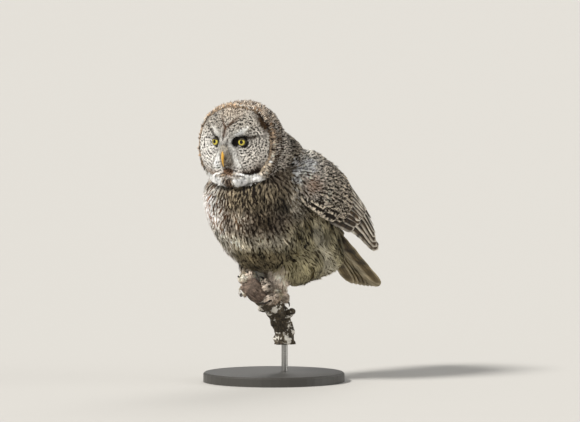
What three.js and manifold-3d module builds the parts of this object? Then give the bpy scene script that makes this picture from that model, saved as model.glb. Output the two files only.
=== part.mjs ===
// A great grey owl, life size, standing still on the broken end of a branch. A rod holds it over a round base.
// Millimetres, +Z up. The owl's breast faces -Y and +X is its left. The origin is under the base's middle.

import * as THREE from "three";
import { mergeVertices } from "three/addons/utils/BufferGeometryUtils.js";
import Module from "manifold-3d";

const wasm = await Module();
wasm.setup();
const { Manifold, Mesh: SolidMesh } = wasm;

// Driving sizes

const GAP = 0.3; // left between two pieces that touch
const TIDY = 0.05; // slivers thinner than this are merged after a cut
const BASE = { radius: 135, height: 18, bevel: 3 };
const ROD = { radius: 6 };
const FEET_Y = -35; // the feet stand this far in front of the base's middle; every y below counts from there

const HEAD = {
  centre: [11, -94, 454], // middle of the facial disc's rim
  turn: 10, // degrees to the owl's left
  discHalfWidth: 81,
  discHalfHeight: 76,
  crownHalfWidth: 82.5,
  crownHalfHeight: 85,
  widest: 50, // behind the rim
  depth: 128, // rim to nape
  napeDrop: 20, // how much lower the back of the head is than the rim's middle
  dome: 34, // how far the middle of the face stands out of the rim
  ridge: 11, // the crest between the eyes
  dish: 12, // how deep the bowl round each eye is
  corner: 0.84, // under 1 makes the disc and the crown squarer than an ellipse
};
const EYE = { side: 27.5, up: 8, forward: 12.5, radius: 11, lid: 1.5 };
const BILL = { width: 12, root: [38, -5], tip: [45, -38], bulge: 8 };
const RUFF = { count: 30, length: 18, halfWidth: 9.5, thick: 1.6 };

const SIDES = { left: 1, right: -1 };

// Ribs of the body from neck to vent: [half width, y, z] on the back and on the belly
const BACK = [
  [60, -10, 451],
  [78, 46, 441],
  [89, 91, 430],
  [92, 124, 412],
  [90, 153, 391],
  [80, 175, 363],
  [62, 190, 333],
  [46, 197, 303],
  [40, 207, 271],
  [30, 216, 246],
];
const BELLY = [
  [60, -82, 408],
  [82, -101, 378],
  [97, -113, 348],
  [101, -108, 310],
  [99, -86, 272],
  [93, -50, 236],
  [82, 4, 209],
  [72, 68, 190],
  [58, 132, 190],
  [44, 188, 206],
];
const BODY_ROUNDNESS = 2.5; // exponent of the ribs' superellipse
const NECK_CUT = { slope: 29.7, headZ: 374, bodyZ: 331, headY: -100, bodyY: -112 };

// The folded wing, shoulder to tip: its edge along the back, its edge along the flank, and the bulge between
const WING_BACK = [
  [68, 0, 424],
  [44, 54, 446],
  [25, 112, 440],
  [23, 170, 410],
  [28, 224, 354],
  [49, 290, 270],
];
const WING_FLANK = [
  [97, -32, 396],
  [104, 4, 345],
  [99, 60, 317],
  [89, 122, 299],
  [73, 202, 281],
  [49, 293, 252],
];
const WING_BULGE = [18, 30, 37, 36, 24, 4];
// A feather's blade: places along it, and the share of its full width there
const VANES = {
  long: { stations: [0.09, 0.4, 0.75, 0.955], shape: [0.42, 0.9, 1.0, 0.66] },
  short: { stations: [0.12, 0.58, 0.91], shape: [0.5, 1.0, 0.72] },
};
const VANE_THICK = 1.2;
const FEATHER_ROLL = 0.1; // each feather tilts this much, radians, so its edge lies over the next one

// Rows of wing feathers: how many, roots and tips along the wing (0 shoulder, 1 tip) at both ends of the row,
// the stretch of the wing's width that the row covers, half width, and how much lower each lies than the last
const WING_TIERS = [
  { vane: "long", count: 6, root: [0.5, 0.52], tip: [0.9, 1], across: [0.36, 0.94], half: 11, step: 1.3 },
  { vane: "long", count: 7, root: [0.46, 0.48], tip: [0.85, 0.74], across: [0.34, 0.97], half: 12.5, step: 0.4 },
  { vane: "long", count: 3, root: [0.46, 0.46], tip: [0.89, 0.85], across: [0.06, 0.28], half: 15, step: 0.4 },
  { vane: "short", count: 8, root: [0.32, 0.3], tip: [0.61, 0.53], across: [0.16, 0.95], half: 12.5, step: 0 },
  { vane: "short", count: 8, root: [0.2, 0.17], tip: [0.44, 0.37], across: [0.17, 0.93], half: 13, step: 0 },
  { vane: "short", count: 6, root: [0.11, 0.08], tip: [0.32, 0.25], across: [0.26, 0.86], half: 14, step: 0 },
];
const TIP_VARIES = 0.012; // of the wing's length
const WING_LIFT = { root: -10.5, out: -6.5, outAt: 0.1, tip: 2 }; // a feather's height over the wing's face
const WING_CORE = {
  stations: [0, 0.03, 0.08, 0.15, 0.23, 0.33, 0.44, 0.55, 0.66], // along the wing
  face: [-1.5, -7.6], // height of its face over or under the wing's, at the shoulder and from here on
  faceTo: 0.24,
  blunt: [0.6, 0.14], // the shoulder starts this wide and has its full width from here on
  thick: [19, 17, 14, 15, 18, 24, 26],
};

const TAIL = {
  root: [0, 118, 358],
  tip: [0, 332, 180],
  feathers: 12,
  halfFeather: 15.5,
  fanAtRoot: 2.0, // sideways step from one feather to the next
  fanAtTip: 6.4,
  roof: 2.0, // each feather lies this much lower than the one inside it
  shorter: 1.6, // and ends this much sooner, growing outwards
  sag: 3.5,
  roll: 0.03, // the feathers of one side lie over those of the other
};
// Short feathers over and under the tail's root: start and reach along the tail, half width
const TAIL_COVERTS = [
  { side: 1, count: 6, start: 40, reach: 88, half: 12 },
  { side: -1, count: 5, start: 50, reach: 118, half: 13 },
];

const THIGH = { centre: [43, 58, 231], size: [33, 66, 44], lean: 8 };
const BRANCH = [
  // centre line [x, y, z] and radius, cut end to broken end
  [4, 62, 70, 20],
  [0, 64, 96, 18.5],
  [-3, 54, 124, 19.5],
  [0, 28, 149, 19],
  [0, -4, 167, 19],
  [2, -38, 186, 17],
];
const BRANCH_KNOBS = [
  // place along the branch, angle round it, length, radius
  { at: 0.36, round: 15, length: 15, radius: 9 },
  { at: 0.5, round: 200, length: 12, radius: 8 },
  { at: 0.2, round: 120, length: 13, radius: 8 },
];
const GRIP_AT = 0.8; // the feet's place along the branch
const FEET = {
  // mm along the branch from between the feet (forward is plus), degrees round it from its top
  left: { along: -14, round: 36 },
  right: { along: 7, round: 36 },
};
const SHANK = { top: [40, 22, 230], radius: [27, 17] };
const TOES = [
  // along the branch and round it from the foot's own place, at the root and at the end, in mm and degrees
  { name: "inner", root: [2, -8], end: [27, -12], radius: [8.6, 6.8] },
  { name: "middle", root: [2, 12], end: [29, 22], radius: [9.0, 7.0] },
  { name: "outer", root: [-1, 20], end: [13, 72], radius: [8.6, 6.8] },
  { name: "hind", root: [-2, 6], end: [-24, 16], radius: [8.4, 6.6] },
];
const HEEL = { radius: 15.2, height: [8, 20] };
const TALON = { length: 21, radius: 2.7, drop: 3.2 };

// Small helpers

const rad = THREE.MathUtils.degToRad;
const lerp = THREE.MathUtils.lerp;
const clamp = THREE.MathUtils.clamp;
const vec = (p) => new THREE.Vector3(p[0], p[1], p[2]);
const smooth = (x) => THREE.MathUtils.smoothstep(x, 0, 1);
const signedPower = (x, power) => Math.sign(x) * Math.abs(x) ** power;
const curveThrough = (points) => new THREE.CatmullRomCurve3(points.map(vec), false, "catmullrom", 0.5);

let seed = 7;
function random() {
  // the same draw on every run, from 0 to 1
  seed = (seed * 16807) % 2147483647;
  return seed / 2147483647;
}

const vary = (amount) => 1 + amount * (2 * random() - 1);

// A closed skin over rings of points, drawn together to one point at each end.
function shell(rings, first, last) {
  const n = rings[0].length;
  const points = [first, ...rings.flat(), last];
  const faces = [];
  const at = (ring, i) => 1 + ring * n + (i % n);
  for (let i = 0; i < n; i++) {
    faces.push(0, at(0, i + 1), at(0, i));
    faces.push(points.length - 1, at(rings.length - 1, i), at(rings.length - 1, i + 1));
    for (let r = 0; r + 1 < rings.length; r++) {
      faces.push(at(r, i), at(r, i + 1), at(r + 1, i + 1));
      faces.push(at(r, i), at(r + 1, i + 1), at(r + 1, i));
    }
  }
  const geometry = new THREE.BufferGeometry().setFromPoints(points);
  geometry.setIndex(faces);
  return solidFrom(geometry);
}

// A three.js geometry as a solid with its faces pointing out.
function solidFrom(geometry) {
  const plain = geometry.clone();
  plain.deleteAttribute("normal");
  plain.deleteAttribute("uv");
  const merged = mergeVertices(plain, 1e-4);
  const make = (triVerts) =>
    new Manifold(new SolidMesh({ numProp: 3, vertProperties: merged.attributes.position.array, triVerts }));
  const faces = Uint32Array.from(merged.index.array);
  const solid = make(faces);
  return solid.volume() > 0 ? solid : make(faces.reverse());
}

// Several solids as one, without the scraps that a cut leaves.
function fuse(solids, cuts = []) {
  let whole = Manifold.union(solids);
  for (const cut of cuts) whole = whole.subtract(cut);
  whole = whole.simplify(TIDY);
  const pieces = whole.decompose().sort((a, b) => b.volume() - a.volume());
  return pieces[0];
}

function meshOf(name, solid, material) {
  const made = solid.getMesh();
  const geometry = new THREE.BufferGeometry();
  const points = new Float32Array(made.numVert * 3);
  for (let i = 0; i < made.numVert; i++) {
    points.set(made.vertProperties.subarray(i * made.numProp, i * made.numProp + 3), i * 3);
  }
  geometry.setAttribute("position", new THREE.BufferAttribute(points, 3));
  geometry.setIndex(new THREE.BufferAttribute(made.triVerts, 1));
  geometry.computeVertexNormals();
  const mesh = new THREE.Mesh(geometry, material);
  mesh.name = name;
  return mesh;
}

// A tube along a line, with a radius at each place, round at both ends.
function taperedTube(line, radiusAt, { steps = 6, sides = 8, round = true } = {}) {
  const rings = [];
  for (let k = 0; k <= steps; k++) {
    const s = k / steps;
    const along = line(Math.min(1, s + 0.01)).sub(line(Math.max(0, s - 0.01))).normalize();
    const across = new THREE.Vector3(0.31, 0.17, 0.94).cross(along).normalize();
    const up = along.clone().cross(across);
    const middle = line(s);
    const ring = [];
    for (let i = 0; i < sides; i++) {
      const turn = (i / sides) * 2 * Math.PI;
      const radius = radiusAt(s, turn);
      ring.push(
        middle
          .clone()
          .addScaledVector(across, radius * Math.cos(turn))
          .addScaledVector(up, radius * Math.sin(turn)),
      );
    }
    rings.push(ring);
  }
  const reach = round ? 0.6 : 0;
  const beyond = (s, from, radius) => {
    const outward = line(s).sub(line(from));
    return line(s).add(outward.setLength(Math.max(radius * reach, 1e-3)));
  };
  return shell(rings, beyond(0, 0.05, radiusAt(0, 0)), beyond(1, 0.95, radiusAt(1, 0)));
}

// A feather: a flat blade with a raised shaft, along a centre line, that lies square to the surface's normal.
function vane({ at, normal, half, kind = VANES.long, thick = VANE_THICK, droop = 0.03, roll = 0 }) {
  const rings = kind.stations.map((s, k) => {
    const along = at(Math.min(1, s + 0.04)).sub(at(Math.max(0, s - 0.04))).normalize();
    const up = normal(s).clone();
    up.addScaledVector(along, -up.dot(along)).normalize();
    const side = along.clone().cross(up).applyAxisAngle(along, roll);
    up.applyAxisAngle(along, roll);
    const w = half * kind.shape[k];
    const t = thick * (1 - 0.45 * s);
    const edge = (sign) => at(s).addScaledVector(side, sign * w).addScaledVector(up, -droop * w);
    return [edge(-1), at(s).addScaledVector(up, t / 2), edge(1), at(s).addScaledVector(up, -t / 2)];
  });
  return shell(rings, at(0), at(1));
}

// Head

const headTurn = rad(HEAD.turn);
const headForward = new THREE.Vector3(Math.sin(headTurn), -Math.cos(headTurn), 0);
const headLeft = new THREE.Vector3(Math.cos(headTurn), Math.sin(headTurn), 0);
const headUp = new THREE.Vector3(0, 0, 1);
const inHead = (forward, side, up) =>
  vec(HEAD.centre)
    .addScaledVector(headForward, forward)
    .addScaledVector(headLeft, side)
    .addScaledVector(headUp, up);

// How far the face stands in front of the disc's rim: a dome, a crest between the eyes, a bowl round each eye.
function faceForward(side, up) {
  const out = Math.min(1, Math.hypot(side / HEAD.discHalfWidth, up / HEAD.discHalfHeight));
  const crest = Math.exp(-((side / 11) ** 2) - ((up - 8) / 42) ** 2);
  const bowl = Math.exp(-(((Math.abs(side) - 36) / 25) ** 2) - ((up - 4) / 30) ** 2);
  return HEAD.dome * (1 - out ** 2.2) + HEAD.ridge * crest - HEAD.dish * bowl;
}

const discCorner = (turn) => [Math.cos(turn), Math.sin(turn)].map((x) => signedPower(x, HEAD.corner));

// One ring of the head's skin: out runs from 0 in the middle of the face to 1 on the rim and 2 at the nape.
function headRing(out, segments, grow) {
  const ring = [];
  const bend = Math.asin(clamp(Math.sqrt(1 - (HEAD.discHalfWidth / HEAD.crownHalfWidth) ** 2), 0, 1));
  for (let i = 0; i < segments; i++) {
    const [c, s] = discCorner((i / segments) * 2 * Math.PI);
    if (out <= 1) {
      const side = HEAD.discHalfWidth * out * c;
      const up = HEAD.discHalfHeight * out * s;
      const scale = 1 + (grow * out) / HEAD.discHalfWidth;
      ring.push(inHead(faceForward(side, up) + grow, side * scale, up * scale));
    } else {
      const angle = lerp(-bend, Math.PI / 2, out - 1);
      const front = HEAD.widest / Math.sin(bend);
      const back = HEAD.depth - HEAD.widest + grow;
      const forward = -HEAD.widest - (angle < 0 ? front : back) * Math.sin(angle);
      const swell = smooth(clamp(-forward / HEAD.widest, 0, 1));
      const wide = HEAD.crownHalfWidth * Math.cos(angle) + grow;
      const tall =
        lerp(HEAD.discHalfHeight / Math.cos(bend), HEAD.crownHalfHeight, swell) * Math.cos(angle) + grow;
      const drop = angle > 0 ? HEAD.napeDrop * Math.sin(angle) ** 2 : 0;
      ring.push(inHead(forward, wide * c, tall * s - drop));
    }
  }
  return ring;
}

function headShape(grow = 0, segments = 30) {
  const rings = [];
  for (const out of [0.12, 0.24, 0.36, 0.48, 0.62, 0.78, 0.92, 1]) rings.push(headRing(out, segments, grow));
  for (let k = 1; k < 9; k++) rings.push(headRing(1 + k / 9, segments, grow));
  return shell(
    rings,
    inHead(faceForward(0, 0) + grow, 0, 0),
    inHead(-HEAD.depth - grow, 0, -HEAD.napeDrop),
  );
}

// The ruff: a ring of short stiff feathers round the disc that point out and back.
function ruffVanes() {
  const vanes = [];
  for (let i = 0; i < RUFF.count; i++) {
    const turn = ((i + 0.5) / RUFF.count) * 2 * Math.PI;
    const [c, s] = discCorner(turn);
    const length = RUFF.length * vary(0.12);
    const root = inHead(-1, c * (HEAD.discHalfWidth - 6), s * (HEAD.discHalfHeight - 6));
    const outward = headLeft.clone().multiplyScalar(c).addScaledVector(headUp, s).normalize();
    const back = headForward.clone().multiplyScalar(-1);
    const at = (t) =>
      root
        .clone()
        .addScaledVector(outward, length * 0.68 * Math.sin((t * Math.PI) / 2))
        .addScaledVector(back, length * (t - 0.3 * Math.sin((t * Math.PI) / 2)));
    const { halfWidth: half, thick } = RUFF;
    vanes.push(vane({ at, normal: () => outward, half, thick, kind: VANES.short, roll: FEATHER_ROLL }));
  }
  return vanes;
}

const eyeCentre = (sign) => inHead(EYE.forward, sign * EYE.side, EYE.up);

function eyeBall(sign, grow = 0, segments = 16) {
  const geometry = new THREE.SphereGeometry(EYE.radius + grow, segments, 9);
  geometry.rotateX(Math.PI / 2);
  const place = eyeCentre(sign);
  geometry.translate(place.x, place.y, place.z);
  return solidFrom(geometry);
}

// The lids' rim round each eye, a thin ring that lies on the ball.
function lidRing(sign) {
  const middle = EYE.radius * 0.78;
  const ring = new THREE.TorusGeometry(middle + 1.4, EYE.lid * 1.5, 5, 16);
  ring.scale(1, 0.93, 1);
  const place = new THREE.Matrix4().makeBasis(headLeft, headUp, headForward);
  place.setPosition(eyeCentre(sign).addScaledVector(headForward, EYE.radius * 0.52));
  ring.applyMatrix4(place);
  return solidFrom(ring);
}

function billUpper(grow = 0) {
  const [rootForward, rootUp] = BILL.root;
  const [tipForward, tipUp] = BILL.tip;
  const line = (s) =>
    inHead(
      lerp(rootForward, tipForward, s) + BILL.bulge * Math.sin(Math.PI * s ** 0.8) - 5 * s ** 4,
      0,
      lerp(rootUp, tipUp, s),
    );
  const rings = [0, 0.25, 0.45, 0.62, 0.78, 0.9].map((s) => {
    const width = (BILL.width / 2) * (1 - 0.82 * s ** 1.5) + grow;
    const deep = 8 * (1 - 0.8 * s ** 1.3) + grow;
    const along = line(s + 0.02).sub(line(s)).normalize();
    const out = headLeft.clone().cross(along).normalize();
    if (out.dot(headForward) < 0) out.negate();
    return Array.from({ length: 10 }, (_, i) => {
      const turn = (i / 10) * 2 * Math.PI;
      return line(s)
        .addScaledVector(headLeft, width * Math.cos(turn))
        .addScaledVector(out, deep * Math.sin(turn) * (Math.sin(turn) > 0 ? 0.8 : 0.55));
    });
  });
  return shell(rings, line(0).addScaledVector(headUp, 2), line(1));
}

function billLower() {
  const line = (s) => inHead(lerp(28, 35, s), 0, lerp(-14, -34, s));
  return taperedTube(line, (s) => 4.3 * (1 - 0.62 * s ** 1.6), { steps: 4, sides: 10 });
}

function nostril(sign) {
  const hole = new THREE.SphereGeometry(1.3, 8, 6);
  const place = inHead(44.5, sign * 6.1, -15);
  hole.translate(place.x, place.y, place.z);
  return solidFrom(hole);
}

// Body

const backLine = curveThrough(BACK);
const bellyLine = curveThrough(BELLY);

function torsoPoint(t, turn, grow) {
  const back = backLine.getPoint(t);
  const belly = bellyLine.getPoint(t);
  const half = lerp((back.x + belly.x) / 2, Math.cos(turn) > 0 ? back.x : belly.x, Math.abs(Math.cos(turn)));
  const middle = new THREE.Vector3(0, (back.y + belly.y) / 2, (back.z + belly.z) / 2);
  const toBack = new THREE.Vector3(0, (back.y - belly.y) / 2, (back.z - belly.z) / 2);
  toBack.setLength(toBack.length() + grow);
  return middle
    .addScaledVector(toBack, signedPower(Math.cos(turn), 2 / BODY_ROUNDNESS))
    .add(new THREE.Vector3((half + grow) * signedPower(Math.sin(turn), 2 / BODY_ROUNDNESS), 0, 0));
}

function torsoShape(grow = 0, sides = 24, steps = 14) {
  const rib = (t) => Array.from({ length: sides }, (_, i) => torsoPoint(t, (i / sides) * 2 * Math.PI, grow));
  const rings = Array.from({ length: steps + 1 }, (_, k) => rib(k / steps));
  const middle = (t) => backLine.getPoint(t).add(bellyLine.getPoint(t)).multiplyScalar(0.5).setX(0);
  const first = middle(0);
  const last = middle(1).add(new THREE.Vector3(0, 9 + grow, -5 - grow / 2));
  return shell(rings, first, last);
}

const wholeBody = (grow = 0) => Manifold.union([torsoShape(grow), headShape(grow)]);

const cutNormal = [0, -Math.sin(rad(NECK_CUT.slope)), Math.cos(rad(NECK_CUT.slope))];
const cutOffset = (y, z) => cutNormal[1] * y + cutNormal[2] * z;
const headCut = cutOffset(NECK_CUT.headY, NECK_CUT.headZ);
const bodyCut = cutOffset(NECK_CUT.bodyY, NECK_CUT.bodyZ);
const above = (solid, offset) => solid.trimByPlane(cutNormal, offset);
const below = (solid, offset) => solid.trimByPlane(cutNormal.map((n) => -n), -offset);

// Wings

const wingBack = curveThrough(WING_BACK);
const wingFlank = curveThrough(WING_FLANK);
const wingBulge = curveThrough(WING_BULGE.map((b, i) => [b, i, 0]));

// A point on the folded left wing's outer face, along from shoulder to tip and across from back to flank.
function wingSheet(along, across) {
  const p = clamp(along, 0, 1);
  const a = wingBack.getPoint(p);
  const b = wingFlank.getPoint(p);
  const run = wingBack.getTangent(p).add(wingFlank.getTangent(p)).normalize();
  const outward = run.clone().cross(b.clone().sub(a)).normalize();
  if (outward.x < 0) outward.negate();
  const swell = signedPower(Math.sin(Math.PI * clamp(across, 0, 1)), 0.85);
  return a.lerp(b, across).addScaledVector(outward, wingBulge.getPoint(p).x * swell);
}

function wingNormal(along, across) {
  const d = 0.02;
  const p = clamp(along, d, 1 - d);
  const q = clamp(across, d, 1 - d);
  const run = wingSheet(p + d, q).sub(wingSheet(p - d, q));
  const over = wingSheet(p, q + d).sub(wingSheet(p, q - d));
  const out = run.cross(over).normalize();
  return out.x < 0 ? out.negate() : out;
}

const wingThick = curveThrough(WING_CORE.thick.map((t, i) => [t, i, 0]));

// The arm under the feathers, as thick as the room down to the flank, with a blunt shoulder.
function wingCore(acrossSteps = 6) {
  const { stations, face, faceTo, blunt } = WING_CORE;
  const rings = stations.map((p) => {
    const open = 1 - clamp(p / blunt[1], 0, 1);
    const width = lerp(blunt[0], 0.94, Math.sqrt(1 - open ** 2));
    const height = lerp(...face, smooth(p / faceTo));
    const outer = [];
    const inner = [];
    for (let k = 0; k <= acrossSteps; k++) {
      const q = 0.5 + width * (k / acrossSteps - 0.5);
      const edge = Math.sin((Math.PI * k) / acrossSteps) ** 0.5;
      const normal = wingNormal(p, q);
      outer.push(wingSheet(p, q).addScaledVector(normal, height));
      inner.push(wingSheet(p, q).addScaledVector(normal, height - 1 - wingThick.getPoint(p).x * edge));
    }
    return [...outer, ...inner.reverse()];
  });
  const end = (p) => wingSheet(p, 0.5).addScaledVector(wingNormal(p, 0.5), face[1] - 8);
  return shell(rings, end(0), end(stations.at(-1) + 0.02));
}

// A feather leaves the core at its root and rises to lie over the next row at its tip.
function featherHeight(s) {
  const { root, out, outAt, tip } = WING_LIFT;
  return s < outAt ? lerp(root, out, s / outAt) : lerp(out, tip, (s - outAt) / (1 - outAt));
}

function wingVanes() {
  const vanes = [];
  for (const tier of WING_TIERS) {
    for (let i = 0; i < tier.count; i++) {
      const share = i / (tier.count - 1);
      const from = lerp(...tier.root, share);
      const to = lerp(...tier.tip, share) + TIP_VARIES * (2 * random() - 1);
      const q = lerp(...tier.across, share);
      const at = (s) => {
        const p = lerp(from, to, s);
        return wingSheet(p, q).addScaledVector(wingNormal(p, q), featherHeight(s) - tier.step * i * s);
      };
      const normal = (s) => wingNormal(lerp(from, to, s), q);
      const half = tier.half * vary(0.05);
      vanes.push(vane({ at, normal, kind: VANES[tier.vane], half, roll: FEATHER_ROLL }));
    }
  }
  return vanes;
}

const mirrored = (solid) => solid.mirror([1, 0, 0]);

// Tail

function tailFrame() {
  const run = vec(TAIL.tip).sub(vec(TAIL.root));
  const length = run.length();
  const along = run.normalize();
  const up = new THREE.Vector3(1, 0, 0).cross(along);
  if (up.z < 0) up.negate();
  return { length, along, up };
}

function tailVanes() {
  const { length, along, up } = tailFrame();
  const vanes = [];
  for (let i = 0; i < TAIL.feathers; i++) {
    const out = i - (TAIL.feathers - 1) / 2;
    const far = Math.abs(out);
    const reach = length - TAIL.shorter * far ** 1.5;
    const at = (s) =>
      vec(TAIL.root)
        .addScaledVector(along, reach * s)
        .add(new THREE.Vector3(out * lerp(TAIL.fanAtRoot, TAIL.fanAtTip, s), 0, 0))
        .addScaledVector(up, -TAIL.roof * far * (0.4 + 0.6 * s) - TAIL.sag * Math.sin(Math.PI * s));
    const { halfFeather: half, roll } = TAIL;
    vanes.push(vane({ at, normal: () => up, half, droop: 0.02, roll }));
  }
  return vanes;
}

function tailCoverts() {
  const { along, up } = tailFrame();
  const vanes = [];
  for (const { side, count, start, reach, half } of TAIL_COVERTS) {
    for (let i = 0; i < count; i++) {
      const out = i - (count - 1) / 2;
      const far = Math.abs(out);
      const length = reach * vary(0.06) - 6 * far;
      const at = (s) =>
        vec(TAIL.root)
          .addScaledVector(along, start + length * s)
          .add(new THREE.Vector3(out * (10 + 1.5 * s), 0, 0))
          .addScaledVector(up, side * lerp(14 - 1.6 * far, 4.5, s) - 3 - far * 1.2);
      vanes.push(vane({ at, normal: () => up, half, kind: VANES.short, droop: side * 0.1 }));
    }
  }
  return vanes;
}

function tailCore() {
  const { along, up } = tailFrame();
  const line = (s) => vec(TAIL.root).addScaledVector(along, 20 + 120 * s).addScaledVector(up, -4);
  const stations = [0, 0.25, 0.5, 0.75, 1];
  const rings = stations.map((s) => {
    const wide = lerp(27, 30, s);
    const deep = lerp(17, 2.2, s ** 0.8);
    return Array.from({ length: 12 }, (_, i) => {
      const turn = (i / 12) * 2 * Math.PI;
      return line(s)
        .add(new THREE.Vector3(wide * Math.cos(turn), 0, 0))
        .addScaledVector(up, deep * Math.sin(turn) - 3 * Math.cos(turn) ** 2);
    });
  });
  return shell(rings, line(-0.03), line(1.05));
}

// Legs, feet and the branch

function thigh(sign, grow = 0) {
  const ball = new THREE.SphereGeometry(1, 16, 10);
  ball.scale(THIGH.size[0] + grow, THIGH.size[1] + grow, THIGH.size[2] + grow);
  ball.rotateX(rad(THIGH.lean));
  ball.translate(sign * THIGH.centre[0], THIGH.centre[1], THIGH.centre[2]);
  return solidFrom(ball);
}

const branchLine = curveThrough(BRANCH);
const branchRadius = curveThrough(BRANCH.map((b, i) => [b[3], i, 0]));

function branchFrame(t) {
  const along = branchLine.getTangent(clamp(t, 0, 1));
  const side = new THREE.Vector3(1, 0, 0);
  side.addScaledVector(along, -side.dot(along)).normalize();
  const up = side.clone().cross(along).normalize();
  return { along, side, up: up.y + up.z < 0 ? up.negate() : up };
}

// Bark: the radius swells and dips with the place and the angle round the branch.
function barkRadius(t, turn, grow) {
  const lumps =
    1.1 * Math.sin(5 * turn + 21 * t) + 0.9 * Math.sin(3 * turn - 34 * t) + 0.7 * Math.sin(47 * t + turn);
  const calm = t > 0.6 ? 0.35 : 1; // worn smooth where the feet stand
  return branchRadius.getPoint(t).x + calm * lumps + grow;
}

function branchShape(grow = 0, steps = 19, sides = 14) {
  const rings = [];
  for (let k = 0; k <= steps; k++) {
    const t = k / steps;
    const { along, side, up } = branchFrame(t);
    const ring = [];
    for (let i = 0; i < sides; i++) {
      const turn = (i / sides) * 2 * Math.PI;
      const point = branchLine
        .getPoint(t)
        .addScaledVector(side, barkRadius(t, turn, grow) * Math.cos(turn))
        .addScaledVector(up, barkRadius(t, turn, grow) * Math.sin(turn));
      if (k === 0) point.z = BRANCH[0][2] - grow;
      if (k === steps) point.addScaledVector(along, 4 * Math.sin(turn * 2 + 0.6) + 2.4 * Math.sin(turn * 5));
      ring.push(point);
    }
    rings.push(ring);
  }
  const broken = branchLine.getPoint(1).addScaledVector(branchFrame(1).along, -3 + grow);
  const cut = branchLine.getPoint(0).setZ(BRANCH[0][2] - grow);
  return shell(rings, cut, broken);
}

function branchKnob({ at, round, length, radius }) {
  const { side, up, along } = branchFrame(at);
  const out = side.clone().multiplyScalar(Math.cos(rad(round))).addScaledVector(up, Math.sin(rad(round)));
  out.addScaledVector(along, 0.35).normalize();
  const start = branchLine.getPoint(at).addScaledVector(out, branchRadius.getPoint(at).x * 0.4);
  const line = (s) => start.clone().addScaledVector(out, (length + branchRadius.getPoint(at).x * 0.6) * s);
  const radiusAt = (s, turn) => radius * (1 - 0.25 * s) + 0.9 * Math.sin(3 * turn);
  return taperedTube(line, radiusAt, { steps: 3, sides: 8 });
}

// A point near the feet: mm along the branch from between them, degrees round it from its top, height over it.
function overBranch(sign, along, round, height) {
  const length = branchLine.getLength();
  const t = GRIP_AT + along / length;
  const inside = clamp(t, 0, 1);
  const { side, up, along: run } = branchFrame(inside);
  const radius = branchRadius.getPoint(inside).x + height;
  return branchLine
    .getPoint(inside)
    .addScaledVector(run, (t - inside) * length)
    .addScaledVector(side, sign * radius * Math.sin(rad(round)))
    .addScaledVector(up, radius * Math.cos(rad(round)));
}

// The same, from the place of one foot: round grows outwards.
const overFoot = (name, along, round, height) =>
  overBranch(SIDES[name], FEET[name].along + along, FEET[name].round + round, height);

function shank(name, grow = 0) {
  const top = vec(SHANK.top).setX(SIDES[name] * SHANK.top[0]);
  const foot = overFoot(name, 0, 0, HEEL.height[0]);
  const line = (s) => top.clone().lerp(foot, s);
  return taperedTube(line, (s) => lerp(SHANK.radius[0], SHANK.radius[1], s) + grow, { steps: 4, sides: 10 });
}

function toe(name, { root, end, radius }) {
  const line = (s) => {
    const height = lerp(radius[0], radius[1], s) - 1 + 3 * Math.sin(Math.PI * s);
    return overFoot(name, lerp(root[0], end[0], s), lerp(root[1], end[1], s), height);
  };
  const knuckled = (s) => lerp(radius[0], radius[1], s) * (1 + 0.07 * Math.cos(6 * Math.PI * s));
  return taperedTube(line, knuckled, { steps: 5, sides: 8 });
}

// The hooked claw carries on from the end of its toe and curls down to the bark.
function talon(name, { root, end, radius }) {
  const step = Math.hypot(end[0] - root[0], (end[1] - root[1]) * 0.3);
  const ahead = (end[0] - root[0]) / step;
  const roundAhead = (end[1] - root[1]) / step;
  const line = (s) => {
    const reach = TALON.length * s * (1 - 0.18 * s);
    const height = lerp(radius[1] + 1.2, TALON.drop, s ** 1.2) + 4.2 * Math.sin(Math.PI * s * 0.8);
    return overFoot(name, end[0] + ahead * reach, end[1] + roundAhead * reach, height);
  };
  const rings = [0, 0.3, 0.58, 0.82].map((s) => {
    const along = line(s + 0.03).sub(line(s)).normalize();
    const across = new THREE.Vector3(0.2, 0.1, 0.97).cross(along).normalize();
    const up = along.clone().cross(across);
    const thick = TALON.radius * (1 - 0.8 * s ** 1.3);
    return Array.from({ length: 7 }, (_, i) => {
      const turn = (i / 7) * 2 * Math.PI;
      return line(s)
        .addScaledVector(across, thick * Math.cos(turn))
        .addScaledVector(up, thick * Math.sin(turn));
    });
  });
  return shell(rings, line(0), line(1));
}

// Stand

function standBase() {
  const { radius, height, bevel } = BASE;
  const outline = [
    [0, 0],
    [radius, 0],
    [radius, height - bevel],
    [radius - bevel, height],
    [0, height],
  ].map(([x, y]) => new THREE.Vector2(x, y));
  const disc = new THREE.LatheGeometry(outline, 48);
  disc.rotateX(Math.PI / 2);
  disc.translate(0, -FEET_Y, 0);
  return solidFrom(disc);
}

function standRod() {
  const bottom = BASE.height + GAP;
  const rod = new THREE.CylinderGeometry(ROD.radius, ROD.radius, BRANCH[0][2] - GAP - bottom, 20);
  rod.rotateX(Math.PI / 2);
  rod.translate(BRANCH[0][0], BRANCH[0][1], (BRANCH[0][2] - GAP + bottom) / 2);
  return solidFrom(rod);
}

// Materials

const FINISHES = {
  plumage: { color: "#8b8074", roughness: 0.95, metalness: 0 },
  dark: { color: "#5b4b3d", roughness: 0.9, metalness: 0 },
  pale: { color: "#c9bda9", roughness: 0.95, metalness: 0 },
  iris: { color: "#e0b62c", roughness: 0.25, metalness: 0 },
  horn: { color: "#d9a52a", roughness: 0.45, metalness: 0 },
  claw: { color: "#1d1b1a", roughness: 0.35, metalness: 0 },
  bark: { color: "#5c5346", roughness: 0.95, metalness: 0 },
  painted: { color: "#3c3b39", roughness: 0.6, metalness: 0 },
  steel: { color: "#8c8c8a", roughness: 0.35, metalness: 1 },
};

// The pieces, each cut clear of what it grows from

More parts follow.
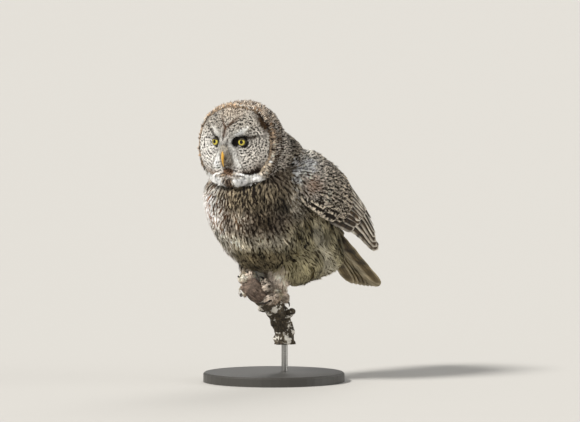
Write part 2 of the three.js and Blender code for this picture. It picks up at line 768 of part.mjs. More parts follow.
const owl = new THREE.Group();
owl.position.y = FEET_Y;
function add(name, solid, finish) {
  owl.add(meshOf(name, solid, new THREE.MeshStandardMaterial(FINISHES[finish])));
}
const sideNames = Object.keys(SIDES);
const other = { left: "right", right: "left" };

const whole = wholeBody();
const bodyGrown = wholeBody(GAP);
const branchGrown = branchShape(GAP);
const ankle = (name) => overFoot(name, 0, 0, HEEL.height[1]).z;
const legShape = (name, grow = 0) => {
  const calf = shank(name, grow).trimByPlane([0, 0, 1], ankle(name) + GAP / 2 - grow);
  return thigh(SIDES[name], grow).add(calf);
};
const legsGrown = { left: legShape("left", GAP), right: legShape("right", GAP) };

const eyesGrown = sideNames.map((name) => eyeBall(SIDES[name], GAP, 24));
const billGrown = billUpper(GAP);
const underHead = below(bodyGrown, headCut);
const headExtras = [...ruffVanes(), lidRing(1), lidRing(-1)].map((solid) => solid.subtract(underHead));
add("head", fuse([above(whole, headCut + GAP / 2), ...headExtras], [...eyesGrown, billGrown]), "plumage");
for (const name of sideNames) add("eye_" + name, eyeBall(SIDES[name]), "iris");
add("bill_upper", fuse([billUpper()], [nostril(1), nostril(-1)]), "horn");
add("bill_lower", fuse([billLower()], [headShape(GAP), billGrown]), "horn");

add("neck", fuse([below(above(whole, bodyCut + GAP / 2), headCut - GAP / 2)]), "plumage");
add("torso", fuse([below(whole, bodyCut - GAP / 2)], Object.values(legsGrown)), "plumage");

const leftWing = Manifold.union([wingCore(), ...wingVanes()]);
const wings = { left: fuse([leftWing], [bodyGrown]), right: fuse([mirrored(leftWing)], [bodyGrown]) };
for (const name of sideNames) add("wing_" + name, wings[name], "dark");
const bothWings = Manifold.union(Object.values(wings));
add("tail", fuse([tailCore(), ...tailVanes(), ...tailCoverts()], [bodyGrown, bothWings]), "dark");

const heel = (name) => {
  const line = (s) => overFoot(name, 0, 0, lerp(...HEEL.height, s));
  return taperedTube(line, () => HEEL.radius, { steps: 2, sides: 10 });
};
const footShape = (name) => Manifold.union([heel(name), ...TOES.map((t) => toe(name, t))]);
for (const name of sideNames) {
  add("leg_" + name, fuse([legShape(name)], [branchGrown, legsGrown[other[name]]]), "pale");
  const cuts = [branchGrown, bodyGrown, legsGrown[name], legsGrown[other[name]]];
  const foot = fuse([fuse([footShape(name)], cuts).trimByPlane([SIDES[name], 0, 0], GAP / 2)]);
  add("foot_" + name, foot, "pale");
  for (const t of TOES) {
    add("talon_" + name + "_" + t.name, fuse([talon(name, t)], [foot, branchGrown]), "claw");
  }
}

add("perch", fuse([branchShape(), ...BRANCH_KNOBS.map(branchKnob)]), "bark");
add("stand_base", standBase(), "painted");
add("stand_rod", standRod(), "steel");

export default owl;
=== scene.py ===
# %% [markdown]
# # A great grey owl on a cut branch
#
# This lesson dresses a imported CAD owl. The solids give the size and the pose. Here they get a skin, more than
# seventeen thousand feathers, eyes, a bill, claws, bark and a stand. All shapes are worked out with numpy
# from the same few sizes as the solids, in millimetres, and are turned to metres when they become meshes.

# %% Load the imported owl
import math
from functools import partial

import bpy
import numpy as np
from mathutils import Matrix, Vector
from mathutils.bvhtree import BVHTree
from mathutils.kdtree import KDTree


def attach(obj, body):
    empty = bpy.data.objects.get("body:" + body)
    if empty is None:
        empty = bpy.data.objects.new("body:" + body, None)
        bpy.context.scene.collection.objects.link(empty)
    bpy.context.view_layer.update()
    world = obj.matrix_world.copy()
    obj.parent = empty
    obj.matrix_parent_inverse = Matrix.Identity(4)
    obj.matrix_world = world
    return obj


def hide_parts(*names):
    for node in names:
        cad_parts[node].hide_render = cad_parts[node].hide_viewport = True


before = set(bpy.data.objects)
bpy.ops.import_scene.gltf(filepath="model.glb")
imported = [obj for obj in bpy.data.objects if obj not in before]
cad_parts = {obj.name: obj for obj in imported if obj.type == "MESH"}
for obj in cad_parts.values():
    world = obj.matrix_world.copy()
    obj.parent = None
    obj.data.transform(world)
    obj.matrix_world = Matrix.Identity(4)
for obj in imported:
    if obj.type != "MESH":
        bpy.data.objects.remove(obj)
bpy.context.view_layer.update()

rng = np.random.default_rng(11)
print("nodes:", len(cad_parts))

# %% [markdown]
# ## Camera, floor and light
#
# The bird is seen from a little above, 40 degrees round from its breast towards its left side. A long lens
# far away gives the flat perspective of a bird photograph. The floor is one large pale disc, so it is the
# same from every side. The light is four suns, each as wide as a large studio lamp: a strong one high on the
# camera's left, a weaker one from the right, a faint low one in front and one from behind. A sun is as bright
# far away as near by, so the floor stays even.

# %% Place the camera
AIM = np.array([0.0408, -0.0008, 0.327])  # metres
VIEW = {"azimuth": 40, "elevation": 3, "distance": 9.0, "width": 1.102}  # degrees, and metres
SENSOR = 36  # mm
SIGHT = 400  # metres, past the floor's far edge


def direction(azimuth, elevation):
    """A unit vector at an azimuth from -Y towards +X and an elevation over the floor, both in degrees."""
    a, e = math.radians(azimuth), math.radians(elevation)
    return np.array([math.sin(a) * math.cos(e), -math.cos(a) * math.cos(e), math.sin(e)])


def look_from(obj, place, aim):
    """Put an object at a place so that its own -Z points to aim."""
    obj.location = Vector(place)
    obj.rotation_euler = (Vector(aim) - Vector(place)).to_track_quat("-Z", "Y").to_euler()
    bpy.context.scene.collection.objects.link(obj)


camera = bpy.data.objects.new("camera", bpy.data.cameras.new("camera"))
camera.data.sensor_width = SENSOR
camera.data.lens = SENSOR * VIEW["distance"] / VIEW["width"]
camera.data.clip_end = SIGHT
look_from(camera, AIM + VIEW["distance"] * direction(VIEW["azimuth"], VIEW["elevation"]), AIM)
bpy.context.scene.camera = camera
print("lens:", round(camera.data.lens), "mm")

# %% Light it softly
LAMPS = [
    # name, azimuth, elevation, width in degrees, strength, colour
    ("key", -16, 43, 13, 4.3, (1.0, 0.975, 0.93)),
    ("fill", 125, 12, 40, 1.2, (1.0, 0.99, 0.96)),
    ("glow", 12, 7, 50, 0.35, (1.0, 0.98, 0.95)),
    ("back", 205, 42, 30, 1.0, (1.0, 0.98, 0.95)),
]
LAMP_DISTANCE = 3  # metres, which a sun's light doesn't depend on
STUDIO = {"Color": (0.98, 0.98, 0.97, 1), "Strength": 0.30}

for name, azimuth, elevation, width, strength, color in LAMPS:
    lamp = bpy.data.lights.new(name, "SUN")
    lamp.angle = math.radians(width)
    lamp.energy = strength
    lamp.color = color
    look_from(bpy.data.objects.new(name, lamp), AIM + LAMP_DISTANCE * direction(azimuth, elevation), AIM)

world = bpy.data.worlds.new("studio")
world.use_nodes = True
for key, value in STUDIO.items():
    world.node_tree.nodes["Background"].inputs[key].default_value = value
bpy.context.scene.world = world
bpy.context.scene.view_settings.view_transform = "Standard"
print("lamps:", len(LAMPS))

# %% [markdown]
# ## Helpers for meshes and materials
#
# Every new piece is a set of points and faces held in arrays, and one function turns them into an object at
# the origin. Every material is a tree of nodes, and one function adds a node with its settings and links.

# %% Name the units and a few ways to reckon
MM = 0.001
FEET = np.array([0, -35.0, 0])  # between the feet, from the middle of the base, in mm
print("the bird's middle is", -FEET[1], "mm in front of the base's")


def unit(v):
    """Vectors divided by their lengths."""
    return v / np.maximum(np.linalg.norm(v, axis=-1, keepdims=True), 1e-9)


def mix(a, b, t):
    """a where t is 0, b where t is 1, and a straight line between."""
    return a + (b - a) * t


def ramp(x, start, stop):
    """0 below start, 1 above stop, and a smooth S between: 3t^2 - 2t^3."""
    t = np.clip((np.asarray(x, float) - start) / (stop - start), 0, 1)
    return t * t * (3 - 2 * t)


def circle(count):
    """The angles of count points spread evenly round a circle."""
    return np.linspace(0, 2 * np.pi, count + 1)[:-1]


def lattice(rows, columns):
    """The value of its row and the value of its column at every point of a grid."""
    return np.meshgrid(rows, columns, indexing="ij")


POLE = 0.12  # radians that an ellipsoid's first ring stays off its pole


def ball_angles(rows, columns):
    """The angle from the pole and the angle round it at every point of a ball's grid."""
    return lattice(np.linspace(POLE, np.pi - POLE, rows), circle(columns))

# %% Turn arrays into objects
def make_object(name, points, faces, uvs=None, values=None):
    """An object from points in mm counted from between the feet, and a list of face arrays of 3 or 4 corners.

    uvs holds a pair for each point under the map's name, values holds 1 or 3 numbers for each point.
    """
    mesh = bpy.data.meshes.new(name)
    mesh.vertices.add(len(points))
    mesh.vertices.foreach_set("co", ((points + FEET) * MM).astype(np.float32).ravel())
    corners = np.concatenate([f.ravel() for f in faces]).astype(np.int32)
    sizes = np.concatenate([np.full(len(f), f.shape[1], np.int32) for f in faces])
    mesh.loops.add(len(corners))
    mesh.loops.foreach_set("vertex_index", corners)
    mesh.polygons.add(len(sizes))
    mesh.polygons.foreach_set("loop_start", np.concatenate([[0], np.cumsum(sizes)[:-1]]).astype(np.int32))
    mesh.update(calc_edges=True)
    mesh.validate()
    mesh.shade_smooth()
    for key, pair in (uvs or {}).items():
        layer = mesh.uv_layers.new(name=key)
        layer.data.foreach_set("uv", pair[corners].astype(np.float32).ravel())
    put_values(mesh, values or {})
    obj = bpy.data.objects.new(name, mesh)
    bpy.context.scene.collection.objects.link(obj)
    return obj


def put_values(mesh, values):
    """Store arrays with one number, or with three as a colour, for each point."""
    for key, value in values.items():
        single = value.ndim == 1
        if not single:
            value = np.column_stack([value, np.ones(len(value))])
        data = mesh.attributes.new(key, "FLOAT" if single else "FLOAT_COLOR", "POINT").data
        data.foreach_set("value" if single else "color", value.astype(np.float32).ravel())


def read(collection, field, width, kind=np.float32):
    """One field of a mesh's elements as an array."""
    values = np.empty(len(collection) * width, kind)
    collection.foreach_get(field, values)
    return values.reshape(-1, width) if width > 1 else values

# %% Join points into faces
def grid_faces(rows, columns, closed=False):
    """Four-cornered faces of a grid of rows and columns of points, joined round its columns where closed."""
    row, column = lattice(np.arange(rows - 1), np.arange(columns if closed else columns - 1))
    after = (column + 1) % columns
    here, below = row * columns, (row + 1) * columns
    return np.stack([here + column, here + after, below + after, below + column], -1).reshape(-1, 4)


def capped(rings):
    """Points and faces of a closed skin over rings of points, drawn to the middle of its two end rings."""
    rows, columns = rings.shape[:2]
    points = np.vstack([rings.reshape(-1, 3), rings[0].mean(0), rings[-1].mean(0)])
    i = np.arange(columns)
    j = (i + 1) % columns
    count = rows * columns
    first = np.stack([np.full(columns, count), j, i], -1)
    last = np.stack([np.full(columns, count + 1), count - columns + i, count - columns + j], -1)
    return outward(points, [grid_faces(rows, columns, True), first, last])


def outward(points, faces):
    """The same faces, turned over where the closed skin holds a negative volume."""
    volume = 0
    for f in faces:
        for k in range(1, f.shape[1] - 1):
            a, b, c = points[f[:, 0]], points[f[:, k]], points[f[:, k + 1]]
            volume += np.einsum("ij,ij->i", a, np.cross(b, c)).sum()
    return points, faces if volume > 0 else [f[:, ::-1] for f in faces]


def joined(pieces):
    """Several (points, faces) as one."""
    points, faces, start = [], [], 0
    for p, fs in pieces:
        points.append(p)
        faces += [f + start for f in fs]
        start += len(p)
    return np.vstack(points), faces


print("a grid of 3 by 4 points has", len(grid_faces(3, 4)), "faces")

# %% Add a node
def add(tree, kind, inputs=None, out=0, **settings):
    """Add a shader node, give it its settings, and link or set its inputs. Returns one of its outputs.

    The sockets of some nodes share their names, so they go by number. A Map Range takes its value and the two
    ends from which and to which it maps as 0 to 4. A Mix of colours takes its factor as 0 and its colours as
    6 and 7, and gives its colour as output 2.
    """
    node = tree.nodes.new("ShaderNode" + kind)
    for key, value in settings.items():
        setattr(node, key, value)
    for key, value in (inputs or {}).items():
        if isinstance(value, bpy.types.NodeSocket):
            tree.links.new(value, node.inputs[key])
        else:
            node.inputs[key].default_value = value
    return node.outputs[out] if node.outputs else None


SMOOTH = {"interpolation_type": "SMOOTHSTEP"}
RGB = {"out": 2, "data_type": "RGBA"}
MULTIPLIED = {**RGB, "blend_type": "MULTIPLY"}
OBJECT_PLACE = {"out": 3}  # the output of Texture Coordinate that counts from the object's origin
NUMBER = {"out": 2}  # the output of Attribute that is one number
VECTOR = {"out": 1}

# %% Colours and finished materials
def dress(piece, material):
    """Give a piece its material, fix it to the bird and name the part that it belongs to."""
    piece.data.materials.append(material)
    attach(piece, "root")


def linear(code):
    """An sRGB hex colour as linear red, green and blue: ((c + 0.055) / 1.055)^2.4, or c / 12.92 when dark."""
    c = np.array([int(code[i : i + 2], 16) / 255 for i in (1, 3, 5)])
    return np.where(c <= 0.04045, c / 12.92, ((c + 0.055) / 1.055) ** 2.4)


def paint(code):
    """The same with an alpha of 1, as a socket takes it."""
    return (*linear(code), 1)


def new_material(name):
    """An empty material and its tree."""
    material = bpy.data.materials.new(name)
    material.use_nodes = True
    material.node_tree.nodes.clear()
    return material, material.node_tree


def finish_material(tree, inputs):
    """Close a tree with the shader and its output."""
    shader = add(tree, "BsdfPrincipled", inputs)
    add(tree, "OutputMaterial", {"Surface": shader})


def mottled(name, tones, roughness, scale, detail, relief):
    """A material of two tones mixed by fine noise, which also raises it: relief is strength and metres."""
    material, tree = new_material(name)
    place = add(tree, "TexCoord", **OBJECT_PLACE)
    grain = add(tree, "TexNoise", {"Vector": place, "Scale": scale, "Detail": detail})
    color = add(tree, "Mix", {0: grain, 6: paint(tones[0]), 7: paint(tones[1])}, **RGB)
    raised = add(tree, "Bump", {"Strength": relief[0], "Distance": relief[1], "Height": grain})
    finish_material(tree, {"Base Color": color, "Roughness": roughness, "Normal": raised})
    return material


print("a middle grey of #808080 is", round(linear("#808080")[0], 3), "in linear light")

# %% Floor
FLOOR = {"radius": 150, "corners": 96}  # metres

angle = circle(FLOOR["corners"])
edge = FLOOR["radius"] / MM * np.stack([np.cos(angle), np.sin(angle), 0 * angle], -1)
first = np.arange(FLOOR["corners"])
fan = np.stack([first, (first + 1) % len(first), np.full(len(first), len(first))], -1)
floor = make_object("floor", np.vstack([edge, [[0, 0, 0]]]), [fan])
# Paper has no gloss, so it only takes the light's colour and the soft shadows.
paper, tree = new_material("matt studio paper")
finish_material(tree, {"Base Color": paint("#bab8b4"), "Roughness": 0.95})
floor.data.materials.append(paper)
print("floor radius:", FLOOR["radius"], "m")

# %% [markdown]
# ## The shapes under the feathers
#
# The solids show how far the coat reaches. The bird's skin is the same set of forms pulled in by the depth of
# the coat: little on the face and toes, a centimetre on the breast. Each form is a grid of points whose rows
# run the way its feathers lie, so that the grids also tell every feather where to point.

# %% Head
HEAD = {
    "centre": np.array([11, -94, 454.0]),  # middle of the facial disc's rim
    "turn": math.radians(10),  # to the owl's left
    "disc": (81, 76),  # half width and half height
    "crown": (82.5, 85),
    "widest": 50,  # behind the rim
    "depth": 128,  # rim to nape
    "nape_drop": 20,
    "dome": 34,  # how far the middle of the face stands out of the rim
    "ridge": 11,  # the crest between the eyes
    "dish": 12,  # how deep the bowl round each eye is
    "corner": 0.84,  # under 1 makes disc and crown squarer than an ellipse
}
EYE = {"side": 27.5, "up": 8, "forward": 12.5, "radius": 11}
AHEAD = np.array([math.sin(HEAD["turn"]), -math.cos(HEAD["turn"]), 0])
LEFT = np.array([math.cos(HEAD["turn"]), math.sin(HEAD["turn"]), 0])
UP = np.array([0, 0, 1.0])


def in_head(forward, side, up):
    """A point from distances in front of the disc's rim, to the owl's left and up, from the disc's middle."""
    forward, side, up = np.broadcast_arrays(forward, side, up)
    return HEAD["centre"] + forward[..., None] * AHEAD + side[..., None] * LEFT + up[..., None] * UP


def head_place(points):
    """The three distances of in_head for given points."""
    d = points - HEAD["centre"]
    return d @ AHEAD, d @ LEFT, d @ UP


def face_forward(side, up):
    """How far the face stands out of the rim: a dome plus a crest between the eyes less a bowl at each."""
    out = np.minimum(1, np.hypot(side / HEAD["disc"][0], up / HEAD["disc"][1]))
    crest = np.exp(-((side / 11) ** 2) - ((up - 8) / 42) ** 2)
    bowl = np.exp(-(((np.abs(side) - 36) / 25) ** 2) - ((up - 4) / 30) ** 2)
    return HEAD["dome"] * (1 - out**2.2) + HEAD["ridge"] * crest - HEAD["dish"] * bowl


def power(x, exponent):
    """|x| to a power, with the sign of x."""
    return np.sign(x) * np.abs(x) ** exponent


def head_surface(out, turn, sink):
    """The head's skin. out is 0 in the middle of the face, 1 on the rim and 2 at the nape; turn goes round.

    The face is the dome of face_forward over a squarish disc. Behind the rim the half widths follow the
    cosine of an angle that runs from rim to nape, and the distance back its sine. sink pulls it in.
    """
    c, s = power(np.cos(turn), HEAD["corner"]), power(np.sin(turn), HEAD["corner"])
    inner = np.minimum(out, 1)
    side, up = HEAD["disc"][0] * inner * c, HEAD["disc"][1] * inner * s
    scale = 1 - sink * inner / HEAD["disc"][0]
    face = in_head(face_forward(side, up) - sink, side * scale, up * scale)
    bend = math.asin(math.sqrt(1 - (HEAD["disc"][0] / HEAD["crown"][0]) ** 2))
    angle = mix(-bend, np.pi / 2, np.maximum(out - 1, 0))
    reach = np.where(angle < 0, HEAD["widest"] / math.sin(bend), HEAD["depth"] - HEAD["widest"] - sink)
    forward = -HEAD["widest"] - reach * np.sin(angle)
    wide = HEAD["crown"][0] * np.cos(angle) - sink
    rim_tall = HEAD["disc"][1] / math.cos(bend)
    tall = mix(rim_tall, HEAD["crown"][1], ramp(-forward / HEAD["widest"], 0, 1)) * np.cos(angle) - sink
    drop = np.where(angle > 0, HEAD["nape_drop"] * np.sin(angle) ** 2, 0)
    back = in_head(forward, np.maximum(wide, 0) * c, np.maximum(tall, 0) * s - drop)
    return np.where((out <= 1)[..., None], face, back)


print("the face stands", round(float(face_forward(0, 0))), "mm out of its rim")

# %% Trunk
# Ribs from neck to vent: half width, y and z on the back and on the belly
BACK = np.array([
    [60, -10, 451], [78, 46, 441], [89, 91, 430], [92, 124, 412], [90, 153, 391],
    [80, 175, 363], [62, 190, 333], [46, 197, 303], [40, 207, 271], [30, 216, 246],
])
BELLY = np.array([
    [60, -82, 408], [82, -101, 378], [97, -113, 348], [101, -108, 310], [99, -86, 272],
    [93, -50, 236], [82, 4, 209], [72, 68, 190], [58, 132, 190], [44, 188, 206],
])


def curve(points, t):
    """A smooth line through points at t from 0 to 1.

    Each span is the cubic whose slope at either end is half the step between that end's two neighbours.
    """
    p = np.asarray(points, float)
    if p.ndim == 1:
        return curve(p[:, None], t)[..., 0]
    p = np.vstack([2 * p[0] - p[1], p, 2 * p[-1] - p[-2]])
    x = np.clip(t, 0, 1) * (len(p) - 3)
    i = np.minimum(x.astype(int), len(p) - 4)
    f = (x - i)[..., None]
    a, b, c, d = p[i], p[i + 1], p[i + 2], p[i + 3]
    start, stop = (c - a) / 2, (d - b) / 2
    return b + f * start + f**2 * (3 * (c - b) - 2 * start - stop) + f**3 * (2 * (b - c) + start + stop)


def trunk_surface(t, turn, sink):
    """The trunk from neck, t 0, to vent, t 1, with turn 0 along the back. Its ribs are squarish ovals.

    A point is the rib's middle plus powers 0.8 of cosine and sine times the way to back and half width.
    """
    back, belly = curve(BACK, t), curve(BELLY, t)
    c, s = np.cos(turn), np.sin(turn)
    half = mix((back[..., 0] + belly[..., 0]) / 2, np.where(c > 0, back[..., 0], belly[..., 0]), np.abs(c))
    middle, to_back = (back + belly) / 2, (back - belly) / 2
    middle[..., 0] = to_back[..., 0] = 0
    to_back *= 1 - np.asarray(sink)[..., None] / np.linalg.norm(to_back, axis=-1, keepdims=True)
    across = ((half - sink) * power(s, 0.8))[..., None] * np.array([1, 0, 0])
    return middle + to_back * power(c, 0.8)[..., None] + across


print("trunk ribs:", len(BACK))

# %% Wings
# The folded wing's two edges from shoulder to tip, how far it bulges, and how thick the arm is
WING_BACK = [[68, 0, 424], [44, 54, 446], [25, 112, 440], [23, 170, 410], [28, 224, 354], [49, 290, 270]]
WING_FLANK = [[97, -32, 396], [104, 4, 345], [99, 60, 317], [89, 122, 299], [73, 202, 281], [49, 293, 252]]
WING_BULGE = [18, 30, 37, 36, 24, 4]
WING_THICK = [19, 17, 14, 15, 18, 24, 26]


def wing_sheet(along, across):
    """The folded left wing's outer face: along from shoulder to tip, across from back edge to flank edge.

    Straight from edge to edge, then swelled out of that plane by the bulge times a sine of across.
    """
    p, q = np.broadcast_arrays(np.clip(along, 0, 1), across)
    a, b = curve(WING_BACK, p), curve(WING_FLANK, p)
    step = 0.004
    later, sooner = np.clip(p + step, 0, 1), np.clip(p - step, 0, 1)
    run = sum(unit(curve(edge, later) - curve(edge, sooner)) for edge in (WING_BACK, WING_FLANK))
    out = unit(np.cross(run, b - a))
    out *= np.where(out[..., :1] < 0, -1, 1)
    swell = curve(WING_BULGE, p) * np.sin(np.pi * np.clip(q, 0, 1)) ** 0.85
    return mix(a, b, q[..., None]) + out * swell[..., None]


def wing_normal(along, across):
    """Square to the wing's face, outwards: the cross product of two small steps on it."""
    step = 0.02
    p, q = np.clip(along, step, 1 - step), np.clip(across, step, 1 - step)
    run = wing_sheet(p + step, q) - wing_sheet(p - step, q)
    over = wing_sheet(p, q + step) - wing_sheet(p, q - step)
    out = unit(np.cross(run, over))
    return out * np.where(out[..., :1] < 0, -1, 1)


def wing_arm(side, rows=26, columns=15):
    """The fleshy arm: the face sunk under the coverts and an underside as thick as the arm, a ring a row."""
    p, k = lattice(np.linspace(0, 0.64, rows), np.linspace(0, 1, columns))
    width = mix(0.6, 0.94, np.sqrt(1 - (1 - np.clip(p / 0.14, 0, 1)) ** 2))
    q = 0.5 + width * (k - 0.5)
    sink = 7.0 + 3 * (1 - ramp(p, 0, 0.2))
    normal = wing_normal(p, q)
    edge = np.sin(np.pi * k) ** 0.5
    outer = wing_sheet(p, q) - normal * sink[..., None]
    inner = outer - normal * (1 + curve(WING_THICK, p) * edge)[..., None]
    return np.concatenate([outer, inner[:, ::-1]], 1) * [side, 1, 1]


wing_length = np.linalg.norm(np.subtract(WING_BACK[-1], WING_BACK[0]))
print("wing:", round(float(wing_length)), "mm from shoulder to tip")

# %% Size the branch, the legs and the toes
BRANCH = np.array([
    # x, y and z of the centre line, and the radius, from the cut end to the broken end
    [4, 62, 70, 20], [0, 64, 96, 18.5], [-3, 54, 124, 19.5],
    [0, 28, 149, 19], [0, -4, 167, 19], [2, -38, 186, 17],
])
SIDES = {"left": 1, "right": -1}
GRIP_AT = 0.8  # the feet's place along the branch
FOOT = {"left": (-14, 36), "right": (7, 36)}  # mm along from there, degrees round
TOES = {
    # root and end, each mm along the branch and degrees round it, and the radius at both
    "inner": ((2, -8), (27, -12), (8.6, 6.8)),
    "middle": ((2, 12), (29, 22), (9.0, 7.0)),
    "outer": ((-1, 20), (13, 72), (8.6, 6.8)),
    "hind": ((-2, 6), (-24, 16), (8.4, 6.6)),
}
THIGH = {"centre": (43, 58, 231), "size": (33, 66, 44), "lean": math.radians(8)}
SHANK = {"top": (40, 22, 230), "radius": (27, 17)}
HEEL = {"radius": 15.2, "height": (8, 20)}
branch_steps = np.diff(curve(BRANCH[:, :3], np.linspace(0, 1, 400)), axis=0)
branch_length = np.linalg.norm(branch_steps, axis=1).sum()
print("branch:", round(branch_length), "mm long")

# %% Find places on the branch, and lay tubes
def branch_frame(t):
    """The branch's direction at t, a level direction across it, and the one square to both that points up."""
    step = 0.002
    later, sooner = np.clip(t + step, 0, 1), np.clip(t - step, 0, 1)
    along = unit(curve(BRANCH[:, :3], later) - curve(BRANCH[:, :3], sooner))
    side = unit(np.array([1, 0, 0]) - along * along[..., :1])
    up = unit(np.cross(side, along))
    return along, side, up * np.where(up[..., 1:2] + up[..., 2:] < 0, -1, 1)


def over_foot(name, along, round_, height):
    """A point mm along the branch and degrees round it from one foot's place, at a height over the bark."""
    along, round_, height = np.broadcast_arrays(*(np.asarray(v, float) for v in (along, round_, height)))
    t = GRIP_AT + (FOOT[name][0] + along) / branch_length
    inside = np.clip(t, 0, 1)
    run, side, up = branch_frame(inside)
    radius = (curve(BRANCH[:, 3], inside) + height)[..., None]
    turn = np.radians(FOOT[name][1] + round_)[..., None]
    middle = curve(BRANCH[:, :3], inside) + run * ((t - inside) * branch_length)[..., None]
    return middle + SIDES[name] * radius * np.sin(turn) * side + radius * np.cos(turn) * up


def tube(line, radius, columns=14):
    """Rings square to a line of points, with a radius for each. The ends are drawn in to round them."""
    along = unit(np.gradient(line, axis=0))
    across = unit(np.cross([0.31, 0.17, 0.94], along))
    up = np.cross(along, across)
    turn = circle(columns)[:, None]
    hoop = across[:, None] * np.cos(turn) + up[:, None] * np.sin(turn)
    radius = np.ravel(radius)
    rings = line[:, None] + hoop * radius[:, None, None]
    start = line[0] + (hoop[:1] - along[0]) * radius[0] * 0.5
    stop = line[-1] + (hoop[-1:] + along[-1]) * radius[-1] * 0.5
    return np.concatenate([start, rings, stop])

# %% Toes, thighs and shanks
def toe_line(name, toe, steps=14):
    """The middle of a toe, straight over the bark and arched a little, and its radius, with soft joints."""
    (a0, r0), (a1, r1), (thick, thin) = TOES[toe]
    s = np.linspace(0, 1, steps)
    height = mix(thick, thin, s) - 1 + 3 * np.sin(np.pi * s)
    radius = mix(thick, thin, s) * (1 + 0.07 * np.cos(6 * np.pi * s))
    return over_foot(name, mix(a0, a1, s), mix(r0, r1, s), height), radius


def thigh_surface(side, sink):
    """Rings of a leaning ellipsoid from its top to its underside."""
    size = np.array(THIGH["size"]) - sink
    v, u = ball_angles(16, 24)
    p = np.stack([np.sin(v) * np.cos(u), np.sin(v) * np.sin(u), np.cos(v)], -1) * size
    c, s = math.cos(THIGH["lean"]), math.sin(THIGH["lean"])
    p = np.stack([p[..., 0], c * p[..., 1] - s * p[..., 2], s * p[..., 1] + c * p[..., 2]], -1)
    return (p + THIGH["centre"]) * [side, 1, 1]


def shank_surface(name, sink):
    """A tapering tube from the thigh to the foot."""
    s = np.linspace(0, 1, 10)[:, None]
    top = np.array(SHANK["top"]) * [SIDES[name], 1, 1]
    line = mix(top, over_foot(name, 0, 0, HEEL["height"][0]), s)
    return tube(line, mix(*SHANK["radius"], s[:, 0]) - sink, 20)

# %% Gather the forms, with the way their feathers lie
CHIN = {"forward": 6.0, "up": -57.0, "size": (34.0, 19.0, 15.0)}
NAPE = {"centre": np.array([0, 12, 429.0]), "size": np.array([69, 57, 47.0])}
TAIL_ROOT, TAIL_TIP = np.array([0, 118, 358.0]), np.array([0, 332, 180.0])
TAIL_LENGTH = np.linalg.norm(TAIL_TIP - TAIL_ROOT)
TAIL_ALONG = (TAIL_TIP - TAIL_ROOT) / TAIL_LENGTH
TAIL_UP = np.array([0, -TAIL_ALONG[2], TAIL_ALONG[1]])


def head_grid():
    """The head's skin, sunk little on the face, more behind it, and most where cheek meets shoulder."""
    outs = np.concatenate([np.linspace(0.04, 1, 22), np.linspace(1.06, 1.97, 22)])
    out, turn = lattice(outs, circle(60))
    shoulder = np.clip(np.sin(turn), 0, 1) * np.abs(np.cos(turn)) * 2
    sink = mix(3.0, 9.0, ramp(out, 0.8, 1.3)) + 9 * shoulder * ramp(out, 1.0, 1.25)
    return head_surface(out, turn, sink)


def trunk_grid():
    """The trunk's skin, a centimetre deep under the breast's feathers and less along the back."""
    t, turn = lattice(np.linspace(0, 1, 44), circle(60))
    return trunk_surface(t, turn, 10.0 - 4.5 * ramp(np.cos(turn), 0.1, 0.7) * ramp(t, 0.05, 0.25))


def nape_grid():
    """The thick nape that fills the bay between head and back: an ellipsoid, rows from front to back."""
    v, u = ball_angles(20, 40)
    ball = np.stack([np.sin(v) * np.cos(u), -np.cos(v), np.sin(v) * np.sin(u)], -1)
    return NAPE["centre"] + ball * NAPE["size"]


def chin_grid():
    """The beard of soft feathers under the bill: an ellipsoid, rows from its top to its underside."""
    v, u = ball_angles(16, 30)
    side, ahead, tall = CHIN["size"]
    forward = CHIN["forward"] + ahead * np.sin(v) * np.sin(u)
    return in_head(forward, side * np.sin(v) * np.cos(u), CHIN["up"] + tall * np.cos(v))


def tail_point(s, x, up):
    """A point at a share of the tail's length, mm to the owl's left of its middle and mm over its plane."""
    s, x, up = np.broadcast_arrays(s, x, up)
    middle = TAIL_ROOT + TAIL_ALONG * (s * TAIL_LENGTH)[..., None]
    return middle + x[..., None] * [1, 0, 0] + up[..., None] * TAIL_UP


def tail_stump():
    """The root of the tail, a flattened cone that narrows into the feathers."""
    s = np.linspace(0, 1, 8)[:, None, None]
    turn = circle(24)[None, :, None]
    line = tail_point(0.09 + 0.36 * s[..., 0], 0, -4)
    wide, deep = 24 - 2 * s, mix(14, 2.2, s**0.8)
    return line + np.array([1, 0, 0]) * wide * np.cos(turn) + TAIL_UP * deep * np.sin(turn)


forms = [("head", head_grid()), ("head", chin_grid()), ("trunk", trunk_grid()), ("trunk", nape_grid())]
forms.append(("tail", tail_stump()))
for name, side in SIDES.items():
    forms += [("wing", wing_arm(side)), ("leg", thigh_surface(side, 7.0)), ("leg", shank_surface(name, 5.0))]
    heel = over_foot(name, 0, 0, np.linspace(*HEEL["height"], 6))
    forms.append(("leg", tube(heel[::-1], np.full(6, HEEL["radius"] - 3), 16)))
    for toe in TOES:
        line, radius = toe_line(name, toe)
        forms.append(("toe", tube(line, radius - 2.2, 12)))
print("forms under the skin:", len(forms))

# %% [markdown]
# ## One skin
#
# The forms run into one another. A voxel remesh keeps only their common outside, as one even net of small
# quads, and a little smoothing turns the creases between them into hollows. So head, neck, trunk, wings, legs
# and toes become one skin without a seam.

# %% Make the skin
VOXEL = 0.0026  # metres
RELAX = {"factor": 0.6, "iterations": 7}
FILL = {"factor": 0.9, "iterations": 60}
LEVELS = 20  # steps of the soft places' weight


def made_real(obj):
    """Apply an object's modifiers: the mesh that they give takes the place of its own."""
    bpy.context.view_layer.update()
    graph = bpy.context.evaluated_depsgraph_get()
    mesh = bpy.data.meshes.new_from_object(obj.evaluated_get(graph))
    obj.modifiers.clear()
    old, obj.data = obj.data, mesh
    bpy.data.meshes.remove(old)


